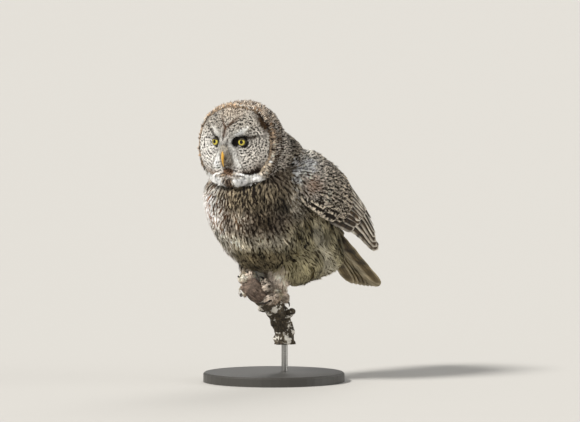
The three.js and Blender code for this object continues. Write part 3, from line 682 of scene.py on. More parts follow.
def smooth_out(obj, name, strength):
    """Add a modifier that moves every point towards its neighbours, and return it."""
    modifier = obj.modifiers.new(name, "SMOOTH")
    modifier.factor = strength["factor"]
    modifier.iterations = strength["iterations"]
    return modifier


def soft_places(points):
    """1 where flesh and down fill a crease: round the nape and where a wing leaves the breast. Else 0."""
    edge = curve(WING_FLANK, np.linspace(0, 0.42, 12))
    edges = edge * np.where(points[:, None, :1] < 0, [-1, 1, 1], 1)
    near = np.linalg.norm(points[:, None] - edges, axis=2).min(1)
    forward, _, up = head_place(points)
    nape = ramp(forward, -55, -80) * ramp(up, -75, -55) * ramp(up, 25, 5)
    return np.maximum(ramp(near, 34, 16), nape)


def points_of(obj):
    """An object's points in mm from between the feet."""
    return read(obj.data.vertices, "co", 3).astype(float) / MM - FEET


skin = make_object("skin", *joined([capped(rings) for _, rings in forms]))
remesh = skin.modifiers.new("one skin", "REMESH")
remesh.mode = "VOXEL"
remesh.voxel_size = VOXEL
smooth_out(skin, "relax", RELAX)
made_real(skin)

group = skin.vertex_groups.new(name="soft places")
level = np.round(soft_places(points_of(skin)) * LEVELS).astype(int)
for step in range(1, LEVELS + 1):
    group.add(np.flatnonzero(level == step).tolist(), step / LEVELS, "REPLACE")
smooth_out(skin, "fill creases", FILL).vertex_group = group.name
made_real(skin)
skin.vertex_groups.clear()
skin.data.shade_smooth()
print("skin:", len(skin.data.polygons), "faces")

# %% [markdown]
# ## Where feathers grow
#
# The skin is unwrapped once, so that each root has a place on a flat map. Roots are strewn over the skin at
# random and thinned until they stand a set distance apart. Each root then asks the nearest points of the
# forms which part of the bird it is on and which way its feathers lie.

# %% Unwrap the skin and read it into arrays
bpy.context.view_layer.objects.active = skin
skin.select_set(True)
bpy.ops.object.mode_set(mode="EDIT")
bpy.ops.mesh.select_all(action="SELECT")
bpy.ops.uv.smart_project(angle_limit=math.radians(66), island_margin=0.002)
bpy.ops.object.mode_set(mode="OBJECT")
skin.select_set(False)
skin.data.uv_layers[0].name = "OFBake"
skin.data.calc_loop_triangles()
skin_points = points_of(skin)
skin_normals = read(skin.data.vertices, "normal", 3).astype(float)
triangles = read(skin.data.loop_triangles, "vertices", 3, np.int32)
triangle_loops = read(skin.data.loop_triangles, "loops", 3, np.int32)
skin_map = read(skin.data.uv_layers["OFBake"].data, "uv", 2)
first, second, third = skin_points[triangles].transpose(1, 0, 2)
triangle_area = np.linalg.norm(np.cross(second - first, third - first), axis=1) / 2
print("skin area:", round(triangle_area.sum() / 1e6, 3), "square metres")

# %% Make trees of the forms and the skin
KINDS = ["head", "trunk", "tail", "wing", "leg", "toe"]
HEADK, TRUNK, TAILK, WING, LEG, TOE = range(len(KINDS))
form_points = np.vstack([rings.reshape(-1, 3) for _, rings in forms])
form_lies = np.vstack([unit(np.gradient(rings, axis=0)).reshape(-1, 3) for _, rings in forms])
form_kinds = np.concatenate([np.full(rings[..., 0].size, KINDS.index(kind)) for kind, rings in forms])


def tree_of(points):
    """A tree that finds the points nearest to a place."""
    tree = KDTree(len(points))
    for index, place in enumerate(points):
        tree.insert(place, index)
    tree.balance()
    return tree


form_tree = tree_of(form_points)
surface = BVHTree.FromPolygons(skin_points.tolist(), triangles.tolist())
print("form points:", len(form_points))

# %% Measure places on the skin and the face
def nearest_on_skin(points):
    """For each point the nearest on the skin, and the skin's normal there, from its triangle's corners."""
    found = [surface.find_nearest(p) for p in points]
    places = np.array([f[0] for f in found])
    index = np.array([f[2] for f in found])
    corners = skin_points[triangles[index]]
    weight = 1 / (np.linalg.norm(corners - places[:, None], axis=2) + 0.05)
    normals = (skin_normals[triangles[index]] * weight[..., None]).sum(1)
    return places, unit(normals)


def flat(v, normals):
    """The part of each direction that lies in the surface, at length 1."""
    return unit(v - normals * (v * normals).sum(-1, keepdims=True))


def bump(x, middle, width):
    """A bell: 1 at middle, falling off over width."""
    return np.exp(-(((x - middle) / width) ** 2))


def eye_distance(points):
    """How far each point is from the nearer eye across the face, outwards and up from it, in mm."""
    _, side, up = head_place(points)
    return np.hypot(np.abs(side) - EYE["side"], up - EYE["up"]), np.abs(side) - EYE["side"], up - EYE["up"]


def tuck(side, up):
    """How far the face's pattern is drawn in below, over the white bow, and a little at the left cheek."""
    bearing = np.degrees(np.arctan2(up, np.abs(side)))
    return 1 + 0.2 * ramp(bearing, -36, -64) + 0.07 * bump(bearing, -32, 16) * ramp(side, 0, 24)


def disc_place(points):
    """How far out a point is on the facial disc: 0 in its middle, 1 on its rim, for its squarish oval."""
    forward, side, up = head_place(points)
    n = 2 / HEAD["corner"]
    out = (np.abs(side / HEAD["disc"][0]) ** n + np.abs(up / HEAD["disc"][1]) ** n) ** (1 / n)
    return out * tuck(side, up), forward

# %% Ask the forms for the part and the lie, and strew roots
def lie_of(points, normals):
    """The part of the bird at each point and the way its feathers lie there.

    The lie is the mean of the four nearest form points, turned down a little by weight. On the face it runs
    away from the nearer eye, and between the eyes it runs up over the brow and down over the bill.
    """
    found = [form_tree.find_n(p, 4) for p in points]
    index = np.array([[f[1] for f in four] for four in found])
    weight = 1 / (np.array([[f[2] for f in four] for four in found]) + 1)
    kind = form_kinds[index[:, 0]]
    lie = (form_lies[index] * weight[..., None]).sum(1)
    lie[:, 2] -= np.where(kind == TRUNK, 0.25, 0) * weight.sum(1)
    out, forward = disc_place(points)
    _, e_side, e_up = eye_distance(points)
    _, side, up = head_place(points)
    away = (e_side * np.sign(side))[:, None] * LEFT + e_up[:, None] * UP
    middle = UP * np.sign(up - EYE["up"] + 4)[:, None] + (0.35 * np.sign(side))[:, None] * LEFT
    away = mix(unit(away), middle, ramp(np.abs(side), 17, 7)[:, None])
    face = ((kind == HEADK) * ramp(out, 1.02, 0.94) * (forward > -14))[:, None]
    return kind, flat(mix(unit(lie), unit(away), face), normals)


def strew(spacing, wanted):
    """Roots about spacing mm apart where wanted(points) is true: one in each cell of two shifted grids."""
    count = int(triangle_area.sum() / spacing**2 * 5)
    pick = rng.choice(len(triangles), count, p=triangle_area / triangle_area.sum())
    a, b = rng.random((2, count))
    a, b = np.where(a + b > 1, 1 - a, a), np.where(a + b > 1, 1 - b, b)
    share = np.stack([1 - a - b, a, b], -1)[..., None]
    places = (skin_points[triangles[pick]] * share).sum(1)
    keep = np.arange(count)[wanted(places)]
    for shift in (0.0, 0.5):
        cells = np.floor(places[keep] / (spacing * 0.86) + shift).astype(int)
        keep = keep[np.sort(np.unique(cells, axis=0, return_index=True)[1])]
    normals = unit((skin_normals[triangles[pick[keep]]] * share[keep]).sum(1))
    maps = (skin_map[triangle_loops[pick[keep]]] * share[keep]).sum(1)
    return places[keep], normals, maps


# %% [markdown]
# ## One feather
#
# A contour feather of an owl is loose and soft: its barbs part into fingers towards the tip. So each feather
# here is a fan of narrow strips side by side that end at different lengths. Its middle line runs through
# three points over the skin, at the root, half way and under the tip, so it follows the body's curve and
# rises from the skin to the outside of the coat. The whole coat is worked out as arrays at once.

# %% Bend a feather's middle line
def through(a, b, c, s):
    """The parabola through a, b and c at s 0, 1/2 and 1."""
    return a * (1 - s) * (1 - 2 * s) + b * 4 * s * (1 - s) + c * s * (2 * s - 1)


def feather_line(roots, normals, lies, length, depth, stand):
    """Three points over the skin for each feather, with the normals there. depth and stand are heights."""
    half, half_normals = nearest_on_skin(roots + lies * length[:, None] * 0.5)
    onward = flat(half - roots, half_normals)
    tip, tip_normals = nearest_on_skin(half + onward * length[:, None] * 0.5)
    over = [
        roots - normals,
        half + half_normals * (depth * 0.55 + stand)[:, None],
        tip + tip_normals * (depth + stand)[:, None],
    ]
    return over, [normals, half_normals, tip_normals]

# %% Grow feathers
BAKE_PATCH = 0.003  # a feather's share of the skin's map


def grow(name, roots, normals, maps, lies, plan, strips=7, rows=4, fray=0.25, loose=0.06):
    """A coat piece. plan holds each feather's length, half width, depth, stand and marks.

    Across goes from -1 to 1 and s from root to tip. A strip's length is 1 less a part of across squared and a
    random fray. Half width grows to full at half length. The blade is arched by a part of across squared.
    """
    count = len(roots)
    length, half = plan["length"], plan["half"]
    over, up3 = feather_line(roots, normals, lies, length, plan["depth"], plan["stand"])
    middle = -1 + (2 * np.arange(strips) + 1) / strips
    s_rows = np.concatenate([np.repeat(np.arange(rows) / rows, 2), [1.0]])
    sign = np.concatenate([np.tile([-1, 1], rows), [0]])
    taper = 1.25 / strips * (1 - 0.45 * s_rows**2)
    across = middle[:, None] + sign * taper
    reach = (1 - 0.24 * np.abs(middle) ** 2) * (1 - fray * rng.random((count, strips)))
    s = (s_rows * reach[..., None])[..., None]
    across = np.broadcast_to(across, (count, strips, len(s_rows)))[..., None]
    bend = rng.normal(0, loose, (count, strips))[..., None, None] * s**2
    lift = rng.normal(0, 0.5, (count, strips))[..., None, None] * s
    lay = lambda v: v[:, None, None, :]
    line = through(lay(over[0]), lay(over[1]), lay(over[2]), s)
    up = unit(through(lay(up3[0]), lay(up3[1]), lay(up3[2]), s))
    along = unit(lay(over[2] - over[0]) + lay(over[1] - over[0]) * (1 - s))
    side = unit(np.cross(along, up))
    wide = half[:, None, None, None] * (0.34 + 0.66 * ramp(s, 0, 0.5))
    points = line + side * wide * (across + bend) + up * (lift - 0.16 * wide * across**2)
    per = strips * len(s_rows)
    faces = strip_faces(count, strips, rows)
    flat_across, flat_s = np.clip(across[..., 0], -1, 1).reshape(-1), s[..., 0].reshape(-1)
    uvs = {
        "Vane": np.stack([0.5 + 0.5 * flat_across, flat_s], -1),
        "OFBake": np.repeat(maps, per, 0) + BAKE_PATCH * np.stack([0.5 * flat_across, flat_s - 0.5], -1),
    }
    points = points.reshape(-1, 3)
    values = {key: np.repeat(plan[key], per, 0) for key in ("Pale", "Dark", "Marks")}
    values["Phase"] = np.repeat(plan["turn"], per) + flat_s * np.repeat(plan["bars"], per)
    if "rings" in plan:
        values["Phase"] = plan["rings"](points) + 0.2 * np.repeat(plan["turn"], per)
    obj = make_object(name, points, faces, uvs, values)
    print(name, count, "feathers,", sum(len(f) * (f.shape[1] - 2) for f in faces), "triangles")
    return obj


def strip_faces(count, strips, rows):
    """Faces of count feathers of strips, each strip a ladder of rows that ends in a point."""
    per = 2 * rows + 1
    start = (np.arange(count * strips) * per)[:, None, None]
    k = 2 * np.arange(rows - 1)[:, None]
    quads = start + k + np.array([0, 1, 3, 2])
    ends = start[:, 0] + 2 * (rows - 1) + np.array([0, 1, 2])
    return [quads.reshape(-1, 4), ends.reshape(-1, 3)]


# %% [markdown]
# ## Markings
#
# A great grey owl is a pattern of grey, brown and white. One function gives, for any point, a pale tone and a
# dark tone, how much of the shaft is dark, how strong the bars across the feather are, and how flecked it is.
# The skin asks the same function, so what shows between two feathers agrees with them.

# %% Clouds, and marks laid over one another
WAVES = rng.normal(size=(9, 3))
WAVE_PHASE = rng.random(9) * 2 * np.pi


def clouds(points, size):
    """Smooth patches of about size mm from -1 to 1: the sum of nine plane waves in fixed directions."""
    return np.sin(points @ WAVES.T * (2.2 / size) + WAVE_PHASE).sum(-1) / 4.2


class Marks:
    """The markings at a set of points, as arrays, and a way to lay another tone over a part of them."""

    def __init__(self, count, pale, dark, streak, bars, flecks):
        self.pale = np.tile(linear(pale), (count, 1))
        self.dark = np.tile(linear(dark), (count, 1))
        self.marks = np.tile([streak, bars, flecks], (count, 1)).astype(float)

    def lay(self, weight, pale=None, dark=None, streak=None, bars=None, flecks=None):
        """Draw what is there towards the values given, by a weight from 0 to 1 at each point."""
        w = np.clip(weight, 0, 1)[:, None]
        if pale:
            self.pale = mix(self.pale, linear(pale), w)
        if dark:
            self.dark = mix(self.dark, linear(dark), w)
        for column, value in enumerate((streak, bars, flecks)):
            if value is not None:
                self.marks[:, column] = mix(self.marks[:, column], value, w[:, 0])

# %% Mark the face
def face_marks(m, points, on):
    """Lay the face's pattern where on is 1: flecked grey, dark round the eyes, white crescents, dark chin,
    and painted shade at the left cheek and eye.
    """
    d, e_side, e_up = eye_distance(points)
    _, side, up = head_place(points)
    apart = np.abs(side)
    near_side = ramp(side, -10, 10)
    out, _ = disc_place(points)
    bearing = np.degrees(np.arctan2(up, apart))
    # Flecked grey, darker high up and down the bill's sides. The near cheek's inner side is laid darker as
    # painted shade, because it is turned from the key light.
    m.lay(on, "#f4f0ea", "#272019", 0.0, 1.0, 0.5)
    m.lay(on * ramp(up, 12, 40), "#cfc8bd", "#17110c", 0.0, 1.0, 0.9)
    m.lay(on * ramp(side, 12, 45) * ramp(up, 40, 10) * 0.8, "#cac3b9", "#110c08", 0.0, 1.0, 0.8)
    m.lay(on * ramp(apart, 40, 12) * ramp(up, 40, 62) * 0.6, "#bfae9b", "#3d2e1f", 0.0, 0.7, 0.8)
    beside = bump(apart, 10, 6) * ramp(up, 0, -9) * ramp(up, -48, -34) * 0.75
    m.lay(on * beside, "#b9b1a5", "#5a5248", 0.0, 0.2, 0.5)
    # White crescents between the eyes, with the grey behind them, the brown fork and their dark edges
    below = np.where(side > 0, 6, 12) * np.clip((8 - up) / 30, 0, 2) ** 1.6
    bend = np.where(up > 8, 13 * np.clip((up - 8) / 17, 0, 2) ** 1.2, below)
    white = bump(apart, 13 + bend, 4.5) * ramp(up, 40, 30) * ramp(up, -42, -28)
    brow = bump(e_up, 16, 4.5) * bump(e_side, -4, 11) * 0.9
    grey = bump(apart, 23 + bend, 5) * ramp(up, 44, 34) * ramp(up, 0, 12) * 0.6
    m.lay(on * grey, "#a79f94", "#1c1610", 0.0, 1.0, 0.9)
    m.lay(on * (white * 2.2 + brow), "#fffdf8", "#d8d0c3", 0.0, 0.0, 0.0)
    fork = bump(apart, 0.9 * np.clip(up - 33, 0, 25), 3.6) * ramp(up, 13, 21) * ramp(up, 60, 46)
    m.lay(on * 1.2 * fork, "#5f4a3b", "#21160f", 0.0, 0.6, 0.6)
    edge = bump(apart, 17 + bend, 1.7) * ramp(up, 2, -10) * ramp(up, -52, -40)
    m.lay(on * 0.8 * edge, "#5b5249", "#28211b", 0.0, 0.5, 0.5)
    # Black round the eyes: inside the left one, over both, and in a line behind the left one. The black patch
    # inside is laid at the left eye alone, which is turned from the key light, so it is partly the eye's dark
    # mark and partly painted shade.
    oval = np.hypot((e_side + 10) / 7, (e_up + 2 + 0.1 * e_side) / 9)
    inner = ramp(oval, 1.15, 0.75) * (side > 0)
    arch = bump(e_up, 7.4 + 3.2 * bump(e_side, 2, 8), 2.5) * ramp(e_side, -17, -9) * ramp(e_side, 15, 7)
    slant = bump(e_up, 8.5 + 0.6 * e_side, 2.4) * ramp(e_side, -10, -5) * ramp(e_side, 13, 8)
    over = np.where(side > 0, arch, slant)
    round_eyes = inner + over * 1.5 + ramp(d, 12, 10) * ramp(e_up, -5, 3)
    m.lay(on * round_eyes, "#1b1613", "#0a0807", 0.0, 0.1, 0.0)
    line = 9 + 0.05 * e_side + 1.2 * clouds(points, 12)
    behind = bump(e_up, line, mix(4.2, 2.2, ramp(e_side, 10, 40)))
    stretch = ramp(e_side, 6, 11) * ramp(e_side, 50, 26)
    m.lay(on * 1.1 * near_side * behind * stretch, "#393028", "#15100c", 0.0, 0.5, 0.4)
    # Brown chin, and the dark and buff parts of the rim
    chin = ramp(apart, 14, 8) * ramp(up, -37, -43) * ramp(up, -60, -54)
    m.lay(on * chin, "#755a47", "#1c1008", 0.0, 0.2, 1.0)
    upper = (0.3 + near_side) * ramp(out, 0.78, 0.88) * bump(bearing, 35, 17)
    m.lay(on * upper, "#3a2917", "#110a05", 0.0, 0.2, 0.2)
    m.lay(on * 0.8 * ramp(out, 0.70, 0.86) * bump(bearing, -52, 22), "#a8907c", "#33241a", 0.0, 0.8, 0.8)
    lower = 1.8 * ramp(out, 0.79, 0.84) * bump(bearing, -50, 17) * near_side
    m.lay(on * lower, "#261b13", "#0c0704", 0.0, 0.1, 0.1)

# %% Mark the body and the wings
def wing_place(points):
    """How far along the folded wing a point lies: its place on the line from shoulder to tip, 0 to 1."""
    start, stop = np.array([0, 400.0]), np.array([290, 262.0])
    return ((points[:, 1:] - start) @ (stop - start)) / ((stop - start) @ (stop - start))


# Light and dark tufts that show in the photograph on breast, belly and wing
BLOTCHES = [
    # centre and size in mm, pale tone, dark tone
    ((39, -85, 355), 24, "#6f5f4c", "#170f08"),
    ((100, -6, 350), 22, "#fffaec", "#8f806a"),
    ((-25, -85, 290), 22, "#fff8ea", "#6a5a44"),
    ((62, -70, 318), 20, "#5f523c", "#150e07"),
    ((70, -52, 350), 15, "#efe6d4", "#6a5b47"),
    ((30, -105, 318), 16, "#fff3de", "#5f4630"),
]


def hanging_streaks(points):
    """Dark bands between the loose locks of the flank: clouds drawn out three times the way they hang."""
    x, y, z = points.T
    along, across = 0.55 * y - 0.83 * z, 0.83 * y + 0.55 * z
    return ramp(clouds(np.stack([x, across, along / 3.5], -1), 9), 0.1, 0.6)


def body_marks(m, points, kind):
    """Lay the tones of trunk, legs and wings, with painted sunlight on the breast's right side and painted
    shade low on the belly. x, y and z are mm to the bird's left, back and up.
    """
    x, y, z = points.T
    trunk = (kind == TRUNK) | (kind == TAILK) | (kind == LEG)
    m.lay(trunk * ramp(z, 330, 280), "#a69d7f", "#281f0e", 0.24, 0.4, 0.15)
    m.lay(trunk * ramp(z, 262, 222), "#a39a7a", "#2c220f", 0.18, 0.4, 0.15)
    m.lay(trunk * bump(z, 282, 44) * bump(y, 66, 52), "#b4a986", "#352b14", 0.18, 0.3, 0.15)
    streaks = hanging_streaks(points) * ramp(z, 345, 300) * ramp(y, -30, 15)
    m.lay(trunk * streaks, "#5d5232", "#1d1608", 0.5, 0.5, 0.2)
    m.lay(trunk * bump(z + 0.9 * y, 345, 24) * ramp(y, 40, 60) * 0.8, "#cfc8b4", "#62563c", 0.1, 0.2, 0.2)
    m.lay(trunk * ramp(y, -5, -60) * ramp(z, 262, 292), "#988a7b", "#261a10", 0.40, 0.5, 0.85)
    # Painted sunlight: the front of the breast on the right, which faces the key light, is laid near white.
    painted_sunlight = trunk * ramp(x - 0.3 * (z - 330), 14, -26) * ramp(y, 20, -40)
    m.lay(painted_sunlight, "#fffcf4", "#7a563b", 0.32, 0.15, 0.1)
    m.lay(trunk * bump(z, 278, 14) * ramp(y, 10, -40), "#ebe1cb", "#4a3a22", 0.26, 0.3, 0.3)
    # Painted shade: a darker band low on the belly's front, under the breast's bulge, kept off the painted
    # sunlight.
    low = ramp(z, 268, 254) * ramp(z, 216, 230) * ramp(y, 30, -20)
    m.lay(trunk * low * (1 - 0.9 * painted_sunlight) * 0.85, "#8b7e62", "#1d150a", 0.34, 0.4, 0.3)
    m.lay(trunk * ramp(y, -40, 10) * ramp(z, 330, 372), "#c2b5a2", "#1b120a", 0.30, 0.7, 0.9)
    m.lay(trunk * ramp(y, 20, 80) * ramp(z, 330, 380), "#fdf3e5", "#1c130b", 0.34, 0.7, 0.9)
    for centre, size, pale, dark in BLOTCHES:
        m.lay(bump(np.linalg.norm(points - centre, axis=1), 0, size), pale, dark)
    wing = (kind == WING) * 1.0
    along = wing_place(points)
    m.lay(wing, "#ddd0bd", "#150d06", 0.42, 0.7, 0.9)
    m.lay(wing * ramp(along, 0.3, 0.08), "#fffaf0", "#1f150d", 0.26, 0.55, 0.7)
    m.lay(wing * bump(z, 378, 22) * bump(y, 24, 30) * 0.85, "#a08068", "#3a2415", 0.34, 0.4, 0.7)
    m.lay(wing * ramp(along, 0.42, 0.6), "#ad9d85", "#1a110a", 0.38, 0.7, 0.6)

# %% Mark the head
def head_marks(m, points, kind):
    """Lay the tones of crown, nape, rim and chin, and the face's own pattern last."""
    head = (kind == HEADK) * 1.0
    out, forward = disc_place(points)
    _, side, up = head_place(points)
    m.lay(head, "#e9dfd3", "#1f140d", 0.40, 1.0, 1.0)
    m.lay(head * ramp(forward, -24, -70), "#e2d8ca", "#241910", 0.34, 0.8, 1.0)
    under = (kind <= TRUNK) * (forward > -60)
    below = up - mix(0, 34, ramp(side, 0, -45))
    shadow = ramp(up, -66, -78) * ramp(forward, -60, -40) * ramp(below, -130, -108) * 0.85
    m.lay(under * shadow, "#8d8068", "#1b130b", 0.44, 0.4, 0.5)
    face_marks(m, points, head * ramp(out, 0.965, 0.93) * (forward > -6))
    apart = np.abs(side)
    near = head * (forward > -32)
    bow = ramp(apart, 9, 14) * ramp(side, -70, -60) * ramp(side, 56, 46) * ramp(out, 0.93, 0.98)
    m.lay(near * bow * ramp(up, -42, -50) * ramp(up, -80, -73), "#fffefb", "#d8cfbf", 0.0, 0.1, 0.15)
    chin = ramp(apart, 11, 6) * ramp(up, -56, -62) * ramp(up, -104, -86)
    m.lay(near * chin, "#8d7a68", "#20150c", 0.4, 0.3, 0.9)

# %% Mark the skin
def markings(points, kind):
    """The marks at points on parts of the bird, made uneven by large and small clouds."""
    m = Marks(len(points), "#a99b86", "#2a2013", 0.34, 0.5, 0.6)
    body_marks(m, points, kind)
    head_marks(m, points, kind)
    fluff = (kind == TOE) | (kind == LEG) | (kind == TRUNK)
    near_feet = ramp(np.hypot(points[:, 0], points[:, 1] + 8), 64, 46)
    m.lay(fluff * ramp(points[:, 2], 226, 210) * near_feet, "#ffefdd", "#a98d74", 0.05, 0.15, 0.4)
    body = (kind != HEADK) * 1.0
    breast = (kind == TRUNK) * ramp(points[:, 1], 0, -50)
    uneven = 0.26 * clouds(points, 34) + 0.24 * clouds(points + 50, 12)
    uneven -= 0.40 * np.clip(clouds(points + 10, 22) - 0.2, 0, 1)
    uneven += 0.22 * breast * clouds(points + 90, 9)
    light = np.maximum(1 + uneven * (0.4 + 0.6 * body), 0.3)[:, None]
    m.marks[:, 0] *= 1 - 0.9 * body * (0.4 * clouds(points + 20, 15) + 0.3 * clouds(points, 7))
    pale, dark = np.clip(m.pale * light, 0, 0.95), np.clip(m.dark * light**2 * 0.8, 0, 1)
    return {"Pale": pale, "Dark": dark, "Marks": np.clip(m.marks, 0, 1)}


def face_rings(points):
    """The count of dark rings out from the nearer eye, wavering: distance over 5.6 mm plus small clouds."""
    d, _, _ = eye_distance(points)
    return d / 5.6 + 0.22 * clouds(points, 12) + 0.10 * clouds(points - 31, 4)


skin_kind, _ = lie_of(skin_points, skin_normals)
skin_marks = markings(skin_points, skin_kind)
skin_phase = np.where(skin_kind == HEADK, face_rings(skin_points), clouds(skin_points, 8))
put_values(skin.data, {**skin_marks, "Phase": skin_phase})
# The skin takes a feather's colour low down, where its root is darkened as grey down and as painted shade.
DOWN_AND_SHADE_PLACE = [1.0, 0.35]  # the place of a feather, on its edge and low down, that the skin is coloured like
whole = skin.data.uv_layers.new(name="Vane")
whole.data.foreach_set("uv", np.tile(DOWN_AND_SHADE_PLACE, (len(skin.data.loops), 1)).astype(np.float32).ravel())
print("marked", len(skin_points), "skin points")

# %% [markdown]
# ## The plumage material
#
# Feathers are keratin that scatters light between fine barbs, so they look matt with a faint sheen. The
# shader reads each feather's two tones and draws on the blade itself: a dark line along the shaft, bars
# across it, flecks, and fine slanting barbs that also give a slight relief.

# %% Mix the feather material
FEATHER_MM = 30  # a middling feather's length, by which the barbs are spaced on its map
FEATHER_GLOSS = {"Sheen Weight": 0.05, "Sheen Roughness": 0.5, "Specular IOR Level": 0.15}


def plumage(name, barb_mm, roughness=0.85, scale=1.0, broken=0.3, tips=0.6, wide=0.0, ragged=0.5, shade=0.3):
    """Matt keratin barbs, drawn barb_mm apart, which is a few times the real 0.3 mm, so that they show.

    broken is how far noise breaks the bars into flecks, tips how pale the ends of the feathers are, wide
    widens the bars, ragged frays the dark along the shaft, and shade is how light the roots are left. The
    roots are darkened both as the grey down at a feather's base and as painted shade where feathers overlap.
    """
    material, tree = new_material(name)
    vane = add(tree, "UVMap", uv_map="Vane")
    split = add(tree, "SeparateXYZ", {"Vector": vane}).node
    across = add(tree, "Math", {0: split.outputs[0], 1: 2.0, 2: -1.0}, operation="MULTIPLY_ADD")
    across = add(tree, "Math", {0: across}, operation="ABSOLUTE")
    along = split.outputs[1]
    place = add(tree, "TexCoord", **OBJECT_PLACE)
    pale, dark, marks = [add(tree, "Attribute", attribute_name=key) for key in ("Pale", "Dark", "Marks")]
    phase = add(tree, "Attribute", attribute_name="Phase", **NUMBER)
    streak, bars, flecks = add(tree, "SeparateColor", {"Color": marks}).node.outputs
    fine = add(tree, "TexNoise", {"Vector": place, "Scale": 260.0 * scale, "Detail": 2.0, "Roughness": 0.6})
    wobble = add(tree, "Math", {0: fine, 1: ragged, 2: -ragged / 2}, operation="MULTIPLY_ADD")
    shaft = add(tree, "Math", {0: across, 1: wobble}, operation="ADD")
    inner = add(tree, "Math", {0: streak, 1: 0.14}, operation="SUBTRACT")
    outer = add(tree, "Math", {0: streak, 1: 0.1}, operation="ADD")
    line = add(tree, "MapRange", {0: shaft, 1: inner, 2: outer, 3: 1.0, 4: 0.0}, **SMOOTH)
    turn = add(tree, "Math", {0: fine, 1: 0.5, 2: phase}, operation="MULTIPLY_ADD")
    turn = add(tree, "Math", {0: turn, 1: 2 * math.pi}, operation="MULTIPLY")
    wave = add(tree, "Math", {0: turn}, operation="SINE")
    band = add(tree, "MapRange", {0: wave, 1: -0.15 - wide, 2: 0.55 - wide, 3: 0.0, 4: bars}, **SMOOTH)
    gaps = add(tree, "TexNoise", {"Vector": place, "Scale": 330.0 * scale, "Detail": 2.0})
    gap = add(tree, "MapRange", {0: gaps, 1: 0.44, 2: 0.56, 3: 1 - broken, 4: 1.0}, **SMOOTH)
    band = add(tree, "Math", {0: band, 1: gap}, operation="MULTIPLY")
    spots = add(tree, "TexNoise", {"Vector": place, "Scale": 330.0 * scale, "Detail": 1.0})
    spot = add(tree, "MapRange", {0: spots, 1: 0.52, 2: 0.62, 3: 0.0, 4: flecks}, **SMOOTH)
    most = add(tree, "Math", {0: line, 1: band}, operation="MAXIMUM")
    most = add(tree, "Math", {0: most, 1: spot}, operation="MAXIMUM")
    end = add(tree, "MapRange", {0: along, 1: 0.72, 2: 0.95, 3: 1.0, 4: 1 - tips}, **SMOOTH)
    most = add(tree, "Math", {0: most, 1: end}, operation="MULTIPLY")
    two_tone = add(tree, "Mix", {0: most, 6: pale, 7: dark}, **RGB)
    # Painted shade: each feather darkens towards its root, both as its grey down and as the shade under the
    # feathers over it.
    root = add(tree, "MapRange", {0: along, 1: 0.1, 2: 0.65, 3: shade, 4: 1.0}, **SMOOTH)
    slant = add(tree, "Math", {0: across, 1: -0.35, 2: along}, operation="MULTIPLY_ADD")
    barb = add(tree, "Math", {0: slant, 1: 2 * math.pi * FEATHER_MM / barb_mm}, operation="MULTIPLY")
    barb = add(tree, "Math", {0: barb}, operation="SINE")
    value = add(tree, "Math", {0: barb, 1: 0.07, 2: root}, operation="MULTIPLY_ADD")
    shaded = add(tree, "Mix", {0: 1.0, 6: two_tone, 7: value}, **MULTIPLIED)
    relief = add(tree, "Bump", {"Strength": 0.25, "Distance": 0.0004, "Height": barb})
    finish_material(tree, {"Base Color": shaded, "Roughness": roughness, "Normal": relief, **FEATHER_GLOSS})
    return material

# %% Mix one for each kind of feather
body_plumage = plumage("soft contour feathers of keratin", 1.5, scale=0.45, ragged=1.5, broken=0.6)
flank_plumage = plumage("long loose down of the flank", 1.5, scale=0.3, ragged=1.2, broken=0.4, tips=0.4)
BARRED = {"scale": 0.6, "ragged": 1.6, "broken": 0.6}
mantle_plumage = plumage("barred feathers of back and shoulder", 1.5, tips=0.9, **BARRED)
covert_plumage = plumage("barred coverts of the wing", 1.5, tips=0.0, shade=0.6, **BARRED)
crown_plumage = plumage("crown feathers", 1.5, scale=0.62, broken=0.65, tips=0.35)
FINE = {"scale": 0.9, "broken": 1.0, "wide": 0.4}
face_plumage = plumage("short stiff facial feathers", 1.2, tips=0.1, shade=0.55, **FINE)
leg_plumage = plumage("downy leg feathers", 1.0, shade=0.95)
dress(skin, plumage("down over skin", 1.5))
print("materials so far:", len(bpy.data.materials))

# %% [markdown]
# ## The coat
#
# The coat is strewn in regions, because feathers are a few millimetres long on the face and toes and several
# centimetres on the breast. Each region is one piece, so that none grows too heavy.

# %% Make one piece of the coat
def spread(value, count, share):
    """A value varied at random by a share either way."""
    return value * (1 + share * (2 * rng.random(count) - 1))


def clothe(name, wanted, spacing, length, half, depth, material, bars, stand, ruffled=0.0, uneven=0.25,
           rings=None, slot="plumage", **strands):
    """Strew, mark and grow one region. wanted(points, kind) says where; sizes are in mm; bars is their count.

    Lengths and half widths are numbers or functions of the roots. Ruffled feathers swing and stand up in
    clouds, and uneven is how far their tones differ. rings replaces the bars' phase, and strands go to grow.
    """
    def there(points):
        kinds = form_kinds[np.array([form_tree.find(p)[1] for p in points])]
        return wanted(points, kinds)

    roots, normals, maps = strew(spacing, there)
    kind, lies = lie_of(roots, normals)
    count = len(roots)
    swing = (rng.normal(0, 0.22, count) + ruffled * clouds(roots, 24))[:, None]
    lies = unit(lies + np.cross(normals, lies) * swing)
    sizes = length(roots) if callable(length) else np.full(count, float(length))
    plan = markings(roots + lies * sizes[:, None] * 0.5, kind)
    tone = spread(1.0, count, uneven)[:, None]
    for key in ("Pale", "Dark"):
        plan[key] = np.clip(plan[key] * tone, 0, 1)
    plan |= {"length": spread(1, count, 0.15) * sizes, "depth": spread(depth, count, 0.2)}
    plan["half"] = spread(1, count, 0.15) * (half(roots) if callable(half) else half)
    tuft = 1 + 2.5 * (ruffled > 0) * np.clip(clouds(roots + 40, 15), 0, 1)
    plan |= {"stand": stand * tuft, "bars": spread(bars, count, 0.2), "turn": rng.random(count)}
    if rings:
        plan["rings"] = rings
    piece = grow(name, roots, normals, maps, lies, plan, **strands)
    dress(piece, material)

